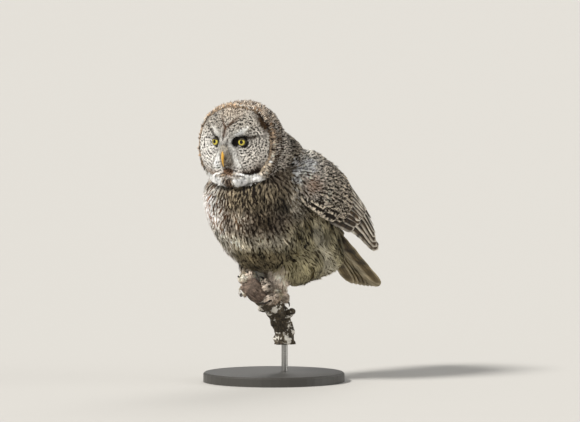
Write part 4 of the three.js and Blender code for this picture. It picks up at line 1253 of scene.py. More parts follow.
# %% Say where each piece grows
BREAST_END = -30  # mm: the breast's coat is in front of this
BACK_FOOT = 330  # and the back's is over this
FEET_TOP = 222  # and the feet's under this
ARM_END = 0.58  # of the wing, from where blades alone cover it


def on_face(p, kind):
    """Inside the disc's rim, but not on the eyes and the bill."""
    out, forward = disc_place(p)
    d, _, _ = eye_distance(p)
    _, side, up = head_place(p)
    bill = (np.abs(side) < 4) & (up < -9) & (up > -40)
    return (kind == HEADK) & (out < 0.955) & (forward > -8) & (d > 9.0) & ~bill


def on_crown(p, kind):
    """All of the head behind the disc and outside it."""
    out, forward = disc_place(p)
    return (kind == HEADK) & ((forward < -3) | (out > 0.93))


def on_breast(p, kind):
    """The trunk's front."""
    return (kind == TRUNK) & (p[:, 1] < BREAST_END)


def on_flank(p, kind):
    """The trunk's lower rear, the tail's root and the thighs."""
    rear = (kind == TRUNK) & (p[:, 1] >= BREAST_END) & (p[:, 2] < BACK_FOOT)
    return rear | (kind == TAILK) | ((kind == LEG) & (p[:, 2] > FEET_TOP))


def on_back(p, kind):
    """The trunk's upper rear."""
    return (kind == TRUNK) & (p[:, 1] >= BREAST_END) & (p[:, 2] >= BACK_FOOT)


def on_shoulder(p, kind):
    """The wing's arm."""
    return (kind == WING) & (wing_place(p) < ARM_END)


def on_feet(p, kind):
    """The toes and the legs' lower ends."""
    return (kind == TOE) | ((kind == LEG) & (p[:, 2] <= FEET_TOP))

# %% Strew the coat
def beard(p):
    """1 under the bill, where the face's feathers are longer, and 0 above."""
    _, _, up = head_place(p)
    return ramp(up, -44, -54)


def face_length(p):
    """Short feathers at the eye and longer ones away from it."""
    return mix(5.5, 10.5, ramp(eye_distance(p)[0], 10, 26)) + 5 * beard(p)


LOOSE = {"strips": 7, "rows": 4, "fray": 0.32, "stand": 0.9, "ruffled": 0.3}
COAT = {
    # where, spacing, length, half width, height of the tips, material, and how its feathers are made
    "coat_face": (on_face, 2.2, face_length, lambda p: 1.8 + beard(p), 2.2, face_plumage,
                  dict(bars=2.5, strips=3, rows=3, fray=0.4, stand=0.3, rings=face_rings, uneven=0.12)),
    "coat_crown": (on_crown, 3.6, 14, 3.7, 7.4, crown_plumage,
                   dict(bars=1.4, strips=5, rows=3, fray=0.3, stand=0.6, ruffled=0.1)),
    "coat_breast": (on_breast, 5.8, 33, 6.0, 8.4, body_plumage, dict(bars=3.2, uneven=0.34, **LOOSE)),
    "coat_flank": (on_flank, 6.4, 38, 6.6, 8.6, flank_plumage, dict(bars=1.6, **LOOSE)),
    "coat_back": (on_back, 5.8, 27, 6.6, 8.4, mantle_plumage, dict(bars=3.0, **LOOSE)),
    "coat_shoulder": (on_shoulder, 5.4, 21, 5.4, 9.0, mantle_plumage,
                      dict(bars=2.0, slot="wing_feathers", **LOOSE)),
    "coat_feet": (on_feet, 2.9, lambda p: mix(9, 21, ramp(p[:, 2], 186, 206)), 2.8, 6.5, leg_plumage,
                  dict(bars=1.2, strips=3, rows=4, fray=0.4, stand=1.6, ruffled=0.9, slot="leg_feathers")),
}
for name, (*region, manner) in COAT.items():
    clothe(name, *region, **manner)
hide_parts("head", "neck", "torso", "leg_left", "leg_right", "foot_left", "foot_right")

# %% [markdown]
# ## The rim of the face
#
# Short stiff feathers stand in rows round the facial disc and hold it open like a dish. The inner ones end in
# dark tips, which draw the dark crescents, and the outer ones are buff and white with dark bars. They are set
# in even rows, as on the bird, and stand a little higher than their neighbours.

# %% Choose the rim's tones
RIM_ROWS = {
    # out, count, length, half width, height of the tips
    "inner": (0.935, 240, 9.5, 1.9, 5.2),
    "middle": (0.975, 220, 11.0, 2.3, 9.5),
    "outer": (1.01, 200, 12.0, 2.6, 11.5),
    "last": (1.055, 190, 13.0, 2.9, 11.0),
}


def rim_tones(row, side, up):
    """The tones of a rim feather by its bearing from the face's middle: dark crescents inside, buff out."""
    bearing = np.degrees(np.arctan2(up, np.abs(side)))
    if row == "inner":
        m = Marks(len(side), "#a4907a", "#33210f", 0.0, 0.8, 0.5)
        m.lay((0.3 + 1.3 * ramp(side, -10, 10)) * bump(bearing, 36, 19), "#24180f", "#0c0704", 0.0, 0.2, 0.1)
        m.lay(ramp(bearing, -10, -30) * ramp(side, -10, 10), "#d9c6ad", "#22160c", 0.0, 0.8, 0.3)
    elif row == "middle":
        m = Marks(len(side), "#c0a589", "#46301e", 0.0, 0.7, 0.3)
        m.lay(ramp(side, -10, 10) * bump(bearing, 38, 18), "#6b4f37", "#1b1209", 0.0, 0.5, 0.3)
        m.lay(ramp(bearing, 20, -10) * ramp(side, -10, 10), "#fff1dc", "#3a2818", 0.0, 0.7, 0.2)
    else:
        m = Marks(len(side), "#dacbb9", "#332317", 0.2, 0.95, 0.9)
        m.lay(ramp(side, 20, 60) * ramp(bearing, 60, 30), "#c4b5a3", "#21160e", 0.3, 0.95, 0.9)
    beads = ramp(bearing, 25, 5) * ramp(side, 20, 50) * (rng.random(len(side)) < 0.5)
    m.lay(beads * {"inner": 0, "middle": 0.4, "outer": 1, "last": 1}[row], "#4a392b", "#1a110a")
    white = 1.5 * ramp(np.abs(side), 10, 16) * ramp(side, -72, -62) * ramp(side, 58, 46) * ramp(up, -44, -52)
    m.lay(white, "#fffefb", "#cfc6b6", 0.0, 0.15, 0.1)
    m.lay(white * (row == "last") * ramp(side, -10, 10), None, "#6b5844", 0.2, 0.7, 0.4)
    m.lay(1.3 * bump(side, 0, 8) * ramp(up, -50, -58), "#6d5543", "#1c120a", 0.2, 0.3, 0.7)
    return m

# %% Plant the rim
def rim_row(row):
    """One row of roots round the disc, with their normals, lies and plan."""
    out, count, length, half, height = RIM_ROWS[row]
    turn = 2 * np.pi * (np.arange(count) + 0.35 * rng.random(count)) / count
    c, s = power(np.cos(turn), HEAD["corner"]), power(np.sin(turn), HEAD["corner"])
    drawn_in = tuck(HEAD["disc"][0] * c, HEAD["disc"][1] * s)
    place = lambda o: head_surface(o / drawn_in, turn, 6.0)
    outs = out + 0.012 * rng.normal(size=count)
    roots, normals = nearest_on_skin(place(outs))
    lies = flat(place(outs + 0.04) - place(outs - 0.04), normals)
    lies = unit(lies + np.cross(normals, lies) * rng.normal(0, 0.10, count)[:, None])
    _, side, up = head_place(roots)
    m = rim_tones(row, side, up)
    tone = spread(1.0, count, 0.4)[:, None]
    plan = {"Pale": np.clip(m.pale * tone, 0, 0.95), "Dark": m.dark * tone, "Marks": m.marks}
    far_corner = ramp(side, -20, -40) * bump(up, -60, 22)
    plan |= {"length": spread(length, count, 0.15) * (1 + 0.6 * far_corner)}
    plan |= {"half": spread(half, count, 0.15), "depth": spread(height, count, 0.12)}
    plan |= {"stand": np.full(count, 0.3), "bars": spread(1.6, count, 0.15), "turn": spread(0.55, count, 0.3)}
    return roots, normals, lies, plan


def map_places(points):
    """The place on the skin's map of the skin corner nearest each point."""
    tree = tree_of(skin_points)
    first = np.zeros(len(skin_points), int)
    first[triangles.ravel()] = triangle_loops.ravel()
    return skin_map[first[[tree.find(p)[1] for p in points]]]


rim_plumage = plumage("stiff rim feathers", 1.2, broken=0.3, tips=0.35)
rows = [rim_row(row) for row in RIM_ROWS]
roots, normals, lies = (np.concatenate([row[k] for row in rows]) for k in range(3))
plan = {key: np.concatenate([row[3][key] for row in rows]) for key in rows[0][3]}
rim = grow("rim_of_the_face", roots, normals, map_places(roots), lies, plan, 5, 3, 0.12)
dress(rim, rim_plumage)

# %% Plant the bristles
def bristle_roots(count=420):
    """Roots beside the bill, with a lie that runs forward and down along it."""
    up = rng.random(count) * -36 + 6
    side = (rng.random(count) * 9 + 4.5 * ramp(up, -6, -14)) * rng.choice([-1, 1], count)
    roots, normals = nearest_on_skin(in_head(face_forward(side, up) - 3, side, up))
    inward = -np.sign(side)[:, None] * LEFT
    lies = flat(-UP + 0.45 * inward + 0.4 * AHEAD, normals)
    lies = unit(lies + np.cross(normals, lies) * rng.normal(0, 0.18, count)[:, None])
    return roots, normals, lies, side, up


roots, normals, lies, side, up = bristle_roots()
count = len(roots)
m = Marks(count, "#bfb7aa", "#5d5448", 0.3, 0.1, 0.3)
m.lay(ramp(up, -12, 4), "#cdc6ba", "#8d867a", 0.2)
m.lay(ramp(up, -18, -32), "#857464", "#2a1e15", 0.5)
plan = {"Pale": m.pale * spread(1, count, 0.25)[:, None], "Dark": m.dark, "Marks": m.marks}
plan |= {"length": spread(13.0, count, 0.25), "half": spread(0.95, count, 0.2)}
plan |= {"depth": spread(5.0, count, 0.35)}
plan |= {"stand": np.full(count, 1.0), "bars": np.full(count, 1.0), "turn": rng.random(count)}
bristles = grow("bill_bristles", roots, normals, map_places(roots), lies, plan, 3, 4, 0.5, 0.3)
dress(bristles, rim_plumage)

# %% [markdown]
# ## Flight feathers
#
# The long feathers of wing and tail are closed vanes that hold their shape, so each is one arched blade on a
# grid, with a raised shaft, a rounded tip and the least bit of wear on its edge. They lie in rows like roof
# tiles. In each row a feather starts deep in the arm and rises until its tip covers the next row's roots.

# %% Build rows of blades
def blade_shape(s):
    """The share of full width at s: narrow at the quill, full from a third, and a tip of sqrt(1 - t^2)."""
    tip = np.clip((s - 0.86) / 0.14, 0, 1)
    return (0.42 + 0.58 * ramp(s, 0, 0.34)) * np.sqrt(np.maximum(1 - tip**2, 0.004))


def blades(line, up, half, columns=9, arch=0.16, wear=0.05, roll=0.1):
    """Points and faces of blades. line and up hold each feather's middle line and its normals, row by row.

    Across goes from -1 to 1. The edge waves a little at random, and the blade falls away from its shaft by
    arch times across squared, with the shaft itself raised. roll tilts a blade so its edge lies on the next.
    """
    count, rows = line.shape[:2]
    s = np.linspace(0, 1, rows)
    across = np.linspace(-1, 1, columns)
    along = unit(np.gradient(line, axis=1))
    side = unit(np.cross(along, up))
    up = np.cross(side, along)
    side, up = side * math.cos(roll) + up * math.sin(roll), up * math.cos(roll) - side * math.sin(roll)
    wide = half[:, None] * blade_shape(s)
    ragged = 1 + wear * rng.normal(size=(count, rows, columns)) * np.abs(across) ** 3
    lay = lambda v: v[..., None, :]
    out = (wide[..., None] * across * ragged)[..., None]
    shaft = 0.5 * np.exp(-((across / 0.12) ** 2)) * (1 - 0.7 * s[:, None])
    rise = (-arch * wide[..., None] * across**2 + shaft)[..., None]
    points = lay(line) + lay(side) * out + lay(up) * rise
    start = (np.arange(count) * rows * columns)[:, None, None]
    faces = (grid_faces(rows, columns)[None] + start).reshape(-1, 4)
    s_all = np.broadcast_to(s[None, :, None], (count, rows, columns)).reshape(-1)
    across_all = np.broadcast_to(across, (count, rows, columns)).reshape(-1)
    return points.reshape(-1, 3), [faces], s_all, across_all


def blade_maps(count, per, s, across):
    """The feather's own map, and a map to bake on where the feathers stand side by side in two rows."""
    index = np.repeat(np.arange(count), per)
    row = math.ceil(count / 2)
    u = (index % row + 0.5 + 0.45 * across) / row
    v = (index // row + 0.03 + 0.94 * s) / 2
    return {"Vane": np.stack([0.5 + 0.5 * across, s], -1), "OFBake": np.stack([u, v], -1)}


def blade_piece(name, line, up, half, tone, material, thick=0.45, **shape):
    """One piece of blades. tone(count, per, s, across, points) gives Pale, Dark, Marks and Phase."""
    count = len(line)
    points, faces, s, across = blades(line, up, half, **shape)
    per = len(points) // count
    values = tone(count, per, s, across, points)
    piece = make_object(name, points, faces, blade_maps(count, per, s, across), values)
    solid = piece.modifiers.new("blade", "SOLIDIFY")
    solid.thickness = thick * MM
    solid.offset = -1
    dress(piece, material)
    print(name, count, "blades")
    return piece


# %% Lay out the wing's rows
WING_ROWS = {
    # count, roots, tips, stretch across, half width, fall from one to the next
    "primaries": (7, (0.5, 0.52), (0.9, 1.0), (0.34, 0.95), 10.5, 1.25),
    "secondaries": (12, (0.44, 0.46), (0.86, 0.74), (0.28, 0.97), 11.0, 0.25),
    "tertials": (4, (0.42, 0.42), (0.90, 0.85), (0.05, 0.28), 14.0, 0.4),
    "greater_coverts": (15, (0.28, 0.26), (0.63, 0.54), (0.08, 0.96), 9.5, 0.0),
    "median_coverts": (15, (0.13, 0.11), (0.47, 0.39), (0.08, 0.95), 9.8, 0.0),
}
DROOP = {"primaries": (0, 3, -14), "secondaries": (0, 1, -4)}  # mm that the row's lowest tip hangs away
LIFT = {"root": -10.5, "out": -6.5, "out_at": 0.1, "tip": 2.0}  # a feather's height over the wing's face
FLIGHT = {"pale": "#41311f", "dark": "#100a05", "edge": "#f1e8d8"}
COVERT = {"pale": "#d5c8b4", "dark": "#150d06", "edge": "#efe4d2"}


def wing_row(side, row, rows=22):
    """The middle lines of one row of feathers and the wing's normals along them."""
    count, roots, tips, stretch, half, fall = WING_ROWS[row]
    share = np.linspace(0, 1, count)[:, None]
    s = np.linspace(0, 1, rows)[None]
    p = mix(mix(*roots, share), mix(*tips, share) + 0.01 * (2 * rng.random((count, 1)) - 1), s)
    q = mix(*stretch, share) + 0 * s
    inside = mix(LIFT["root"], LIFT["out"], s / LIFT["out_at"])
    outside = mix(LIFT["out"], LIFT["tip"], (s - LIFT["out_at"]) / (1 - LIFT["out_at"]))
    height = np.where(s < LIFT["out_at"], inside, outside) - fall * np.arange(count)[:, None] * s
    normal = wing_normal(p, q)
    droop = np.array(DROOP.get(row, (0, 0, 0))) * (share * s**2)[..., None]
    line = wing_sheet(p, q) + normal * height[..., None] + droop
    return line * [side, 1, 1], normal * [side, 1, 1], spread(half, count, 0.06)

# %% Colour the wing's rows and build them
def flight_tone(count, per, s, across, points, tones=FLIGHT, bars=6.0, edge=1.0, flip=1):
    """Dark brown with paler bars and a pale fringe at the tip and on one edge, or on both if flip is 0."""
    patchy = np.clip(0.75 + 0.6 * clouds(points, 9), 0, 1)
    over_edge = across * flip if flip else np.abs(across)
    fringe = np.maximum(ramp(over_edge, 0.64, 0.84), ramp(s, 0.95, 1.0)) * edge * patchy
    tone = np.repeat(spread(1.0, count, 0.2), per)[:, None] * (1 + 0.25 * clouds(points + 70, 14))[:, None]
    fringe = fringe[:, None]
    pale, dark, rim = (linear(tones[key])[None] for key in ("pale", "dark", "edge"))
    pale = np.clip(mix(pale, rim, fringe) * tone, 0, 1)
    dark = np.clip(mix(dark, rim * 0.8, fringe) * tone, 0, 1)
    marks = np.tile([0.12, 0.9, 0.5], (count * per, 1))
    phase = np.repeat(rng.random(count), per) + s * bars + 0.25 * np.abs(across)
    return {"Pale": pale, "Dark": dark, "Marks": marks, "Phase": phase}


def covert_tone(count, per, s, across, points, flip=1):
    """Grey-brown with fine waves and pale tips."""
    values = flight_tone(count, per, s, across, points, COVERT, 5.0, 0.4, flip)
    brown = ramp(wing_place(points), 0.36, 0.58)[:, None]
    values["Pale"] = mix(values["Pale"], values["Pale"] * linear("#b9a88e"), brown)
    values["Marks"][:] = [0.5, 1.0, 1.0]
    return values


flight_plumage = plumage("stiff flight feathers of keratin", 1.6, 0.6)
for name, side in SIDES.items():
    for row in WING_ROWS:
        tone, vane = (covert_tone, covert_plumage) if "coverts" in row else (flight_tone, flight_plumage)
        line, normal, half = wing_row(side, row)
        tone = partial(tone, flip=side)
        blade_piece(f"{row}_{name}", line, normal, half, tone, vane, roll=0.1 * side)
    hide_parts(f"wing_{name}")

# %% Tail
TAIL = {
    "feathers": 12,
    "half": 15.5,
    "fan": (2.0, 6.4),  # sideways step from one feather to the next, at root and tip
    "roof": 2.0,  # each lies this much lower than the one inside it
    "shorter": 1.6,  # and ends this much sooner, growing outwards
    "sag": 3.5,
}
TAIL_TONES = {"pale": "#66573a", "dark": "#1d1409", "edge": "#cdbf9f"}


def tail_lines(rows=30):
    """Twelve middle lines that fan out, each lower and a little shorter than the one inside it."""
    out = (np.arange(TAIL["feathers"]) - (TAIL["feathers"] - 1) / 2)[:, None]
    s = np.linspace(0, 1, rows)[None]
    reach = 1.045 - TAIL["shorter"] * np.abs(out) ** 1.5 / TAIL_LENGTH
    drop = TAIL["roof"] * np.abs(out) * (0.4 + 0.6 * s) + TAIL["sag"] * np.sin(np.pi * s) + 7 * s**2
    line = tail_point(reach * s, out * mix(*TAIL["fan"], s), -drop)
    return line, np.broadcast_to(TAIL_UP, line.shape), spread(TAIL["half"], TAIL["feathers"], 0.03)


def tail_tone(count, per, s, across, points):
    """Olive brown with broad dark bars and a pale mottled fringe."""
    values = flight_tone(count, per, s, across, points, TAIL_TONES, 8.0, 0.8, 0)
    values["Marks"][:] = [0.1, 0.85, 0.6]
    return values


FLATTER = {"roll": 0.03, "arch": 0.08}
tail_blades = blade_piece("tail_feathers", *tail_lines(), tail_tone, flight_plumage, **FLATTER)
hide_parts("tail")

# %% [markdown]
# ## Eyes, lids and bill
#
# An owl's eye is a glossy ball behind a clear cornea, with a yellow iris that has fine spokes and a dark ring
# round it. The lids are thin dark rims. The bill is horn with a waxy gloss, narrow and hooked, and half
# hidden in bristles. Glass and horn are polished, so they get a coat over their colour.

# %% Shape the eyes
PUPIL, IRIS = 3.3, 7.3  # mm
LOOK_OUT = math.tan(math.radians(10))  # how far each eye looks outwards
WHITE = 20.0  # mm, a distance from the axis that is given to all of the ball behind its middle


def eye_frame(side):
    """An eye's centre, the way it looks, and the ways across it and up."""
    axis = unit(AHEAD + LOOK_OUT * side * LEFT)
    across = unit(np.cross(UP, axis))
    return in_head(EYE["forward"], side * EYE["side"], EYE["up"]), axis, across, np.cross(axis, across)


def eye_ball(side):
    """A ball whose front stands out a little more, as a cornea does: its radius plus a bell round the axis.

    Returns points, faces, each point's distance from the axis, and its direction round the axis.
    """
    centre, axis, across, up = eye_frame(side)
    v, u = lattice(np.linspace(0.03, np.pi - 0.05, 40), circle(64))
    radius = EYE["radius"] - 0.5 + 0.9 * np.exp(-((v / 0.75) ** 4))
    ring = np.cos(u)[..., None] * across + np.sin(u)[..., None] * up
    rings = centre + (radius * np.cos(v))[..., None] * axis + (radius * np.sin(v))[..., None] * ring
    points, faces = capped(rings)
    off = np.append((radius * np.sin(v)).ravel(), [0.0, 0.0])
    off = np.where(np.append((v > np.pi / 2).ravel(), [False, True]), WHITE, off)
    cosine, sine = np.append(np.cos(u).ravel(), [1, 1]), np.append(np.sin(u).ravel(), [0, 0])
    around = np.stack([cosine, sine, 0 * off], -1)
    return points, faces, off, around

# %% Paint the eyes
TEARS = {"Coat Weight": 0.6, "Coat Roughness": 0.03, "Coat IOR": 1.34, "Specular IOR Level": 0.2}


def glass_eye():
    """Painted glass: the iris is yellow with paler spokes, darker at its edge, round a black pupil."""
    material, tree = new_material("polished eye")
    off = add(tree, "Attribute", attribute_name="Off", **NUMBER)
    around = add(tree, "Attribute", attribute_name="Around", **VECTOR)
    spokes = add(tree, "TexNoise", {"Vector": around, "Scale": 9.0, "Detail": 3.0})
    yellow = add(tree, "Mix", {0: spokes, 6: paint("#a08d2a"), 7: paint("#e6d867")}, **RGB)
    rim = add(tree, "MapRange", {0: off, 1: IRIS - 1.9, 2: IRIS - 0.2, 3: 0.0, 4: 0.9}, **SMOOTH)
    iris = add(tree, "Mix", {0: rim, 6: yellow, 7: paint("#3d360c")}, **RGB)
    outside = add(tree, "MapRange", {0: off, 1: IRIS - 0.15, 2: IRIS + 0.25, 3: 0.0, 4: 1.0}, **SMOOTH)
    iris = add(tree, "Mix", {0: outside, 6: iris, 7: paint("#0d0b0a")}, **RGB)
    pupil = add(tree, "MapRange", {0: off, 1: PUPIL, 2: PUPIL + 0.35, 3: 1.0, 4: 0.0}, **SMOOTH)
    color = add(tree, "Mix", {0: pupil, 6: iris, 7: paint("#050404")}, **RGB)
    finish_material(tree, {"Base Color": color, "Roughness": 0.25, **TEARS})
    return material


eye_paint = glass_eye()
for name, side in SIDES.items():
    points, faces, off, around = eye_ball(side)
    ball = make_object(f"eyeball_{name}", points, faces, None, {"Off": off, "Around": around})
    dress(ball, eye_paint)
    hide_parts(f"eye_{name}")
print("iris:", 2 * IRIS, "mm across")

# %% Draw the lids
def lid_surface(side, rows=12, columns=72):
    """A rim round the eye: row 0 lies just over the ball at the opening, the last under the feathers.

    The opening is round below and flatter above, where its radius loses a part of the sine squared of the
    angle, more on the bill's side, which gives the owl its frown. The rim bulges by a sine across it.
    """
    centre, axis, across, up = eye_frame(side)
    j, u = lattice(np.linspace(0, 1, rows), circle(columns))
    high = np.clip(np.sin(u), 0, 1) ** 2
    inward = 0.5 - 0.5 * np.cos(u) * side
    low = np.clip(-np.sin(u), 0, 1) ** 2
    opening = IRIS + 0.1 - high * mix(1.7, 4.0, inward) - 1.1 * low
    radius = mix(opening, mix(9.4, 11.6, high * 0.6 + 0.4 * inward), j**1.2)
    ball = np.sqrt(np.maximum((EYE["radius"] + 0.3) ** 2 - np.minimum(radius, 10.9) ** 2, 0))
    lift = 1.1 * np.sin(np.pi * np.clip(j * 1.5, 0, 1)) + high * 2.2 * (1 - j)
    height = ball * ramp(j, 1.15, 0.1) + lift + mix(0.0, -1.0, j)
    ring = np.cos(u)[..., None] * across + np.sin(u)[..., None] * up
    return centre + height[..., None] * axis + radius[..., None] * ring


# Bare skin is dark, and its pores break up what little it shines.
lid_skin = mottled("bare eyelid skin", ("#14100e", "#3a322c"), 0.5, 900.0, 3.0, (0.4, 0.0003))
for name, side in SIDES.items():
    rings = lid_surface(side)
    lids = make_object(f"lids_{name}", rings.reshape(-1, 3), [grid_faces(*rings.shape[:2], True)])
    dress(lids, lid_skin)
print("lids:", len(SIDES))

# %% Shape the bill
# Half width, root and tip ahead of the head's middle and up from it, and how far it bulges
BILL = {"half": 3.7, "root": (33.5, -4), "tip": (43, -38), "bulge": 4.0}
NOSTRIL = {
    "at": 0.2,  # along the bill
    "long": 0.045,
    "turn": 0.62,  # radians from its side
    "wide": 0.32,
    "deep": 0.405,  # of the bill's own half width
}


def bill_line(s):
    """The bill's ridge: straight from root to tip, bowed by a sine and hooked back at the end by s^4."""
    forward = mix(BILL["root"][0], BILL["tip"][0], s) + BILL["bulge"] * np.sin(np.pi * s**0.8) - 5 * s**4
    return in_head(forward, 0 * s, mix(BILL["root"][1], BILL["tip"][1], s))


def upper_bill(rows=72, columns=48):
    """Rings across the bill that narrow towards the hook, with a sharper ridge in front than behind.

    A nostril on each side is a pit: the ring is drawn in by a bell of s and of the angle round the bill.
    Returns the rings and how deep in a nostril each point is, from 0 to 1.
    """
    s = np.linspace(0, 0.985, rows)
    line = bill_line(s)
    along = unit(np.gradient(line, axis=0))
    out = unit(np.cross(LEFT, along))
    out *= np.sign(out @ AHEAD)[:, None]
    c, d = np.cos(circle(columns)), np.sin(circle(columns))
    wide, deep = BILL["half"] * (1 - 0.86 * s**1.5), 6.5 * (1 - 0.86 * s**1.3)
    depth = deep[:, None] * np.where(d > 0, 0.8 * np.abs(d) ** 1.25, -0.5 * np.abs(d))
    pit = bump(s, NOSTRIL["at"], NOSTRIL["long"])[:, None]
    pit = pit * bump(np.arccos(np.abs(c)), NOSTRIL["turn"], NOSTRIL["wide"]) * (d > 0)
    narrow = 1 - NOSTRIL["deep"] * pit
    sideways = LEFT * (wide[:, None] * c * narrow)[..., None]
    return line[:, None] + sideways + out[:, None] * (depth * narrow)[..., None], pit


def lower_bill(rows=14, columns=20):
    """A short tapered tube behind the hook, with no pit on it."""
    s = np.linspace(0, 1, rows)
    line = in_head(mix(28, 33.5, s), 0 * s, mix(-14, -32.0, s))
    rings = tube(line, 2.9 * (1 - 0.66 * s**1.6), columns)
    return rings, np.zeros(rings.shape[:2])

# %% Give the bill its horn
# Wax over horn gives a soft highlight. Below it the yellow is uneven in bands across the bill, as it grew.
horn, tree = new_material("waxy bill horn")
place = add(tree, "TexCoord", **OBJECT_PLACE)
banded = add(tree, "Mapping", {"Vector": place, "Scale": (1.0, 1.0, 3.0)})
growth = add(tree, "TexNoise", {"Vector": banded, "Scale": 260.0, "Detail": 3.0})
color = add(tree, "Mix", {0: growth, 6: paint("#c07f14"), 7: paint("#eec24a")}, **RGB)
# Painted shade: the nostril's pit is darkened as the shade inside its opening.
hole = add(tree, "Attribute", attribute_name="Nostril", **NUMBER)
color = add(tree, "Mix", {0: hole, 6: color, 7: paint("#2a1808")}, **RGB)
relief = add(tree, "Bump", {"Strength": 0.2, "Distance": 0.0003, "Height": growth})
WAX = {"Coat Weight": 0.3, "Coat Roughness": 0.25}
finish_material(tree, {"Base Color": color, "Roughness": 0.38, "Normal": relief, **WAX})
for name, (rings, pit) in {"upper": upper_bill(), "lower": lower_bill()}.items():
    pit = np.append(pit.ravel(), [0, 0])
    piece = make_object(f"bill_{name}_horn", *capped(rings), None, {"Nostril": pit})
    dress(piece, horn)
    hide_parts(f"bill_{name}")
print("bill:", round(float(np.linalg.norm(np.subtract(BILL["tip"], BILL["root"])))), "mm from root to hook")

# %% [markdown]
# ## Claws
#
# Each claw is a curved cone of polished black horn that leaves the feathers of its toe and hooks down to the
# bark. Its middle line is the one that the solid follows.

# %% Bend the claws
TALON = {"length": 21, "radius": 2.7, "drop": 3.2}  # mm; drop is the tip's height over the bark


def talon_surface(name, toe, rows=26, columns=18):
    """A cone round a line that runs on from the toe and falls to the bark: radius times 1 - 0.92 s^1.3."""
    (a0, r0), (a1, r1), (_, thin) = TOES[toe]
    step = math.hypot(a1 - a0, (r1 - r0) * 0.3)
    s = np.linspace(-0.12, 1, rows)
    reach = TALON["length"] * s * (1 - 0.18 * s)
    fall = np.clip(s, 0, 1)
    height = mix(thin + 1.2, TALON["drop"], fall**1.2) + 4.2 * np.sin(np.pi * fall * 0.8)
    line = over_foot(name, a1 + (a1 - a0) / step * reach, r1 + (r1 - r0) / step * reach, height)
    return tube(line, TALON["radius"] * (1 - 0.92 * fall**1.3), columns)


# Horn worn smooth is nearly black and takes a bright line of light.
claw_horn = mottled("polished claw horn", ("#0b0a0a", "#332c27"), 0.3, 500.0, 2.0, (0.15, 0.0003))
for name in SIDES:
    for toe in TOES:
        piece = make_object(f"claw_{name}_{toe}", *capped(talon_surface(name, toe)))
        dress(piece, claw_horn)
        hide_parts(f"talon_{name}_{toe}")
print("claws:", 2 * len(TOES))

# %% [markdown]
# ## Branch and stand
#
# The branch is a dead one: rough dark bark below, grown over with lichen, and bare pinkish wood at the broken
# end where the bark has fallen. The relief is in the mesh, as ridges and pits round a thick curved line. The
# stand is plain: a steel rod and a round base with a satin dark coat of paint.

# %% Carve the branch
KNOBS = [(0.36, 15, 15, 9), (0.5, 200, 12, 8), (0.2, 120, 13, 8)]  # along, degrees round, length, radius
FIBRE_RADIUS = 19  # mm, the cylinder on which the wood's fibres are drawn


def bark_height(t, turn, points):
    """The relief in mm and how bare the wood is, 0 to 1, by the share t of the branch's length.

    The solid's lumps are sines. Bark adds two sizes of clouds to them, and bare wood adds ridges along it.
    """
    lumps = 1.1 * np.sin(5 * turn + 21 * t) + 0.9 * np.sin(3 * turn - 34 * t) + 0.7 * np.sin(47 * t + turn)
    bare = ramp(t, 0.78, 0.86)
    rough = 0.8 * np.abs(clouds(points, 7)) + 0.5 * np.abs(clouds(points + 90, 3)) - 0.6
    ridge = np.abs(np.sin(5.5 * turn + 3 * t + 1.2 * np.sin(30 * t))) ** 0.7
    fibre = 1.5 * ridge + 0.5 * np.abs(np.sin(17 * turn + 9 * t)) - 1.4
    return mix(1, 0.35, ramp(t, 0.58, 0.62)) * lumps + mix(rough, fibre, bare), bare


def branch_surface(rows=230, columns=110):
    """Rings round the branch's line with the bark's relief, and a splintered ring at the broken end."""
    t, turn = lattice(np.linspace(0, 1, rows), circle(columns))
    along, side, up = branch_frame(t[:, 0])
    out = side[:, None] * np.cos(turn)[..., None] + up[:, None] * np.sin(turn)[..., None]
    middle = curve(BRANCH[:, :3], t)
    radius = curve(BRANCH[:, 3], t)
    relief, bare = bark_height(t, turn, middle + out * radius[..., None])
    points = middle + out * (radius + relief)[..., None]
    points[0, :, 2] = BRANCH[0, 2]
    turn = turn[-1]
    splinter = 3.5 * np.sin(turn * 2 + 0.6) + 2.8 * np.abs(np.sin(turn * 4.5 + 1)) + 1.4 * np.sin(turn * 17)
    points[-4:] += (ramp(np.arange(4), -1, 3)[:, None] * splinter)[..., None] * along[-4:, None]
    return points, bare


def knob_surface(at, round_, length, radius):
    """A stub of a side twig: a short tube that leaves the bark at an angle, with three soft ribs."""
    at = np.array([at])
    along, side, up = (v[0] for v in branch_frame(at))
    turn = math.radians(round_)
    out = unit(side * math.cos(turn) + up * math.sin(turn) + 0.35 * along)
    thick = float(curve(BRANCH[:, 3], at)[0])
    s = np.linspace(0, 1, 16)[:, None]
    line = curve(BRANCH[:, :3], at)[0] + out * (thick * 0.4 + (length + thick * 0.6) * s)
    rings = tube(line, radius * (1 - 0.25 * s[:, 0]), 30)
    middle = rings.mean(1, keepdims=True)
    rough = 1 + 0.10 * clouds(rings, 5)
    return middle + (rings - middle) * rough[..., None]


rings, bare = branch_surface()
points, faces = joined([capped(rings)] + [capped(knob_surface(*knob)) for knob in KNOBS])
bareness = np.zeros(len(points))
bareness[: bare.size] = bare.ravel()
bareness[bare.size + 1] = 1
reach, turn = lattice(np.linspace(0, branch_length, bare.shape[0]), circle(bare.shape[1]))
fibres = np.stack([FIBRE_RADIUS * np.cos(turn), FIBRE_RADIUS * np.sin(turn), 0.1 * reach], -1)
lines = points * MM * 0.6
lines[: bare.size] = fibres.reshape(-1, 3) * MM
perch = make_object("branch", points, faces, None, {"Bare": bareness, "Fibres": lines})
print("branch:", len(points), "points")

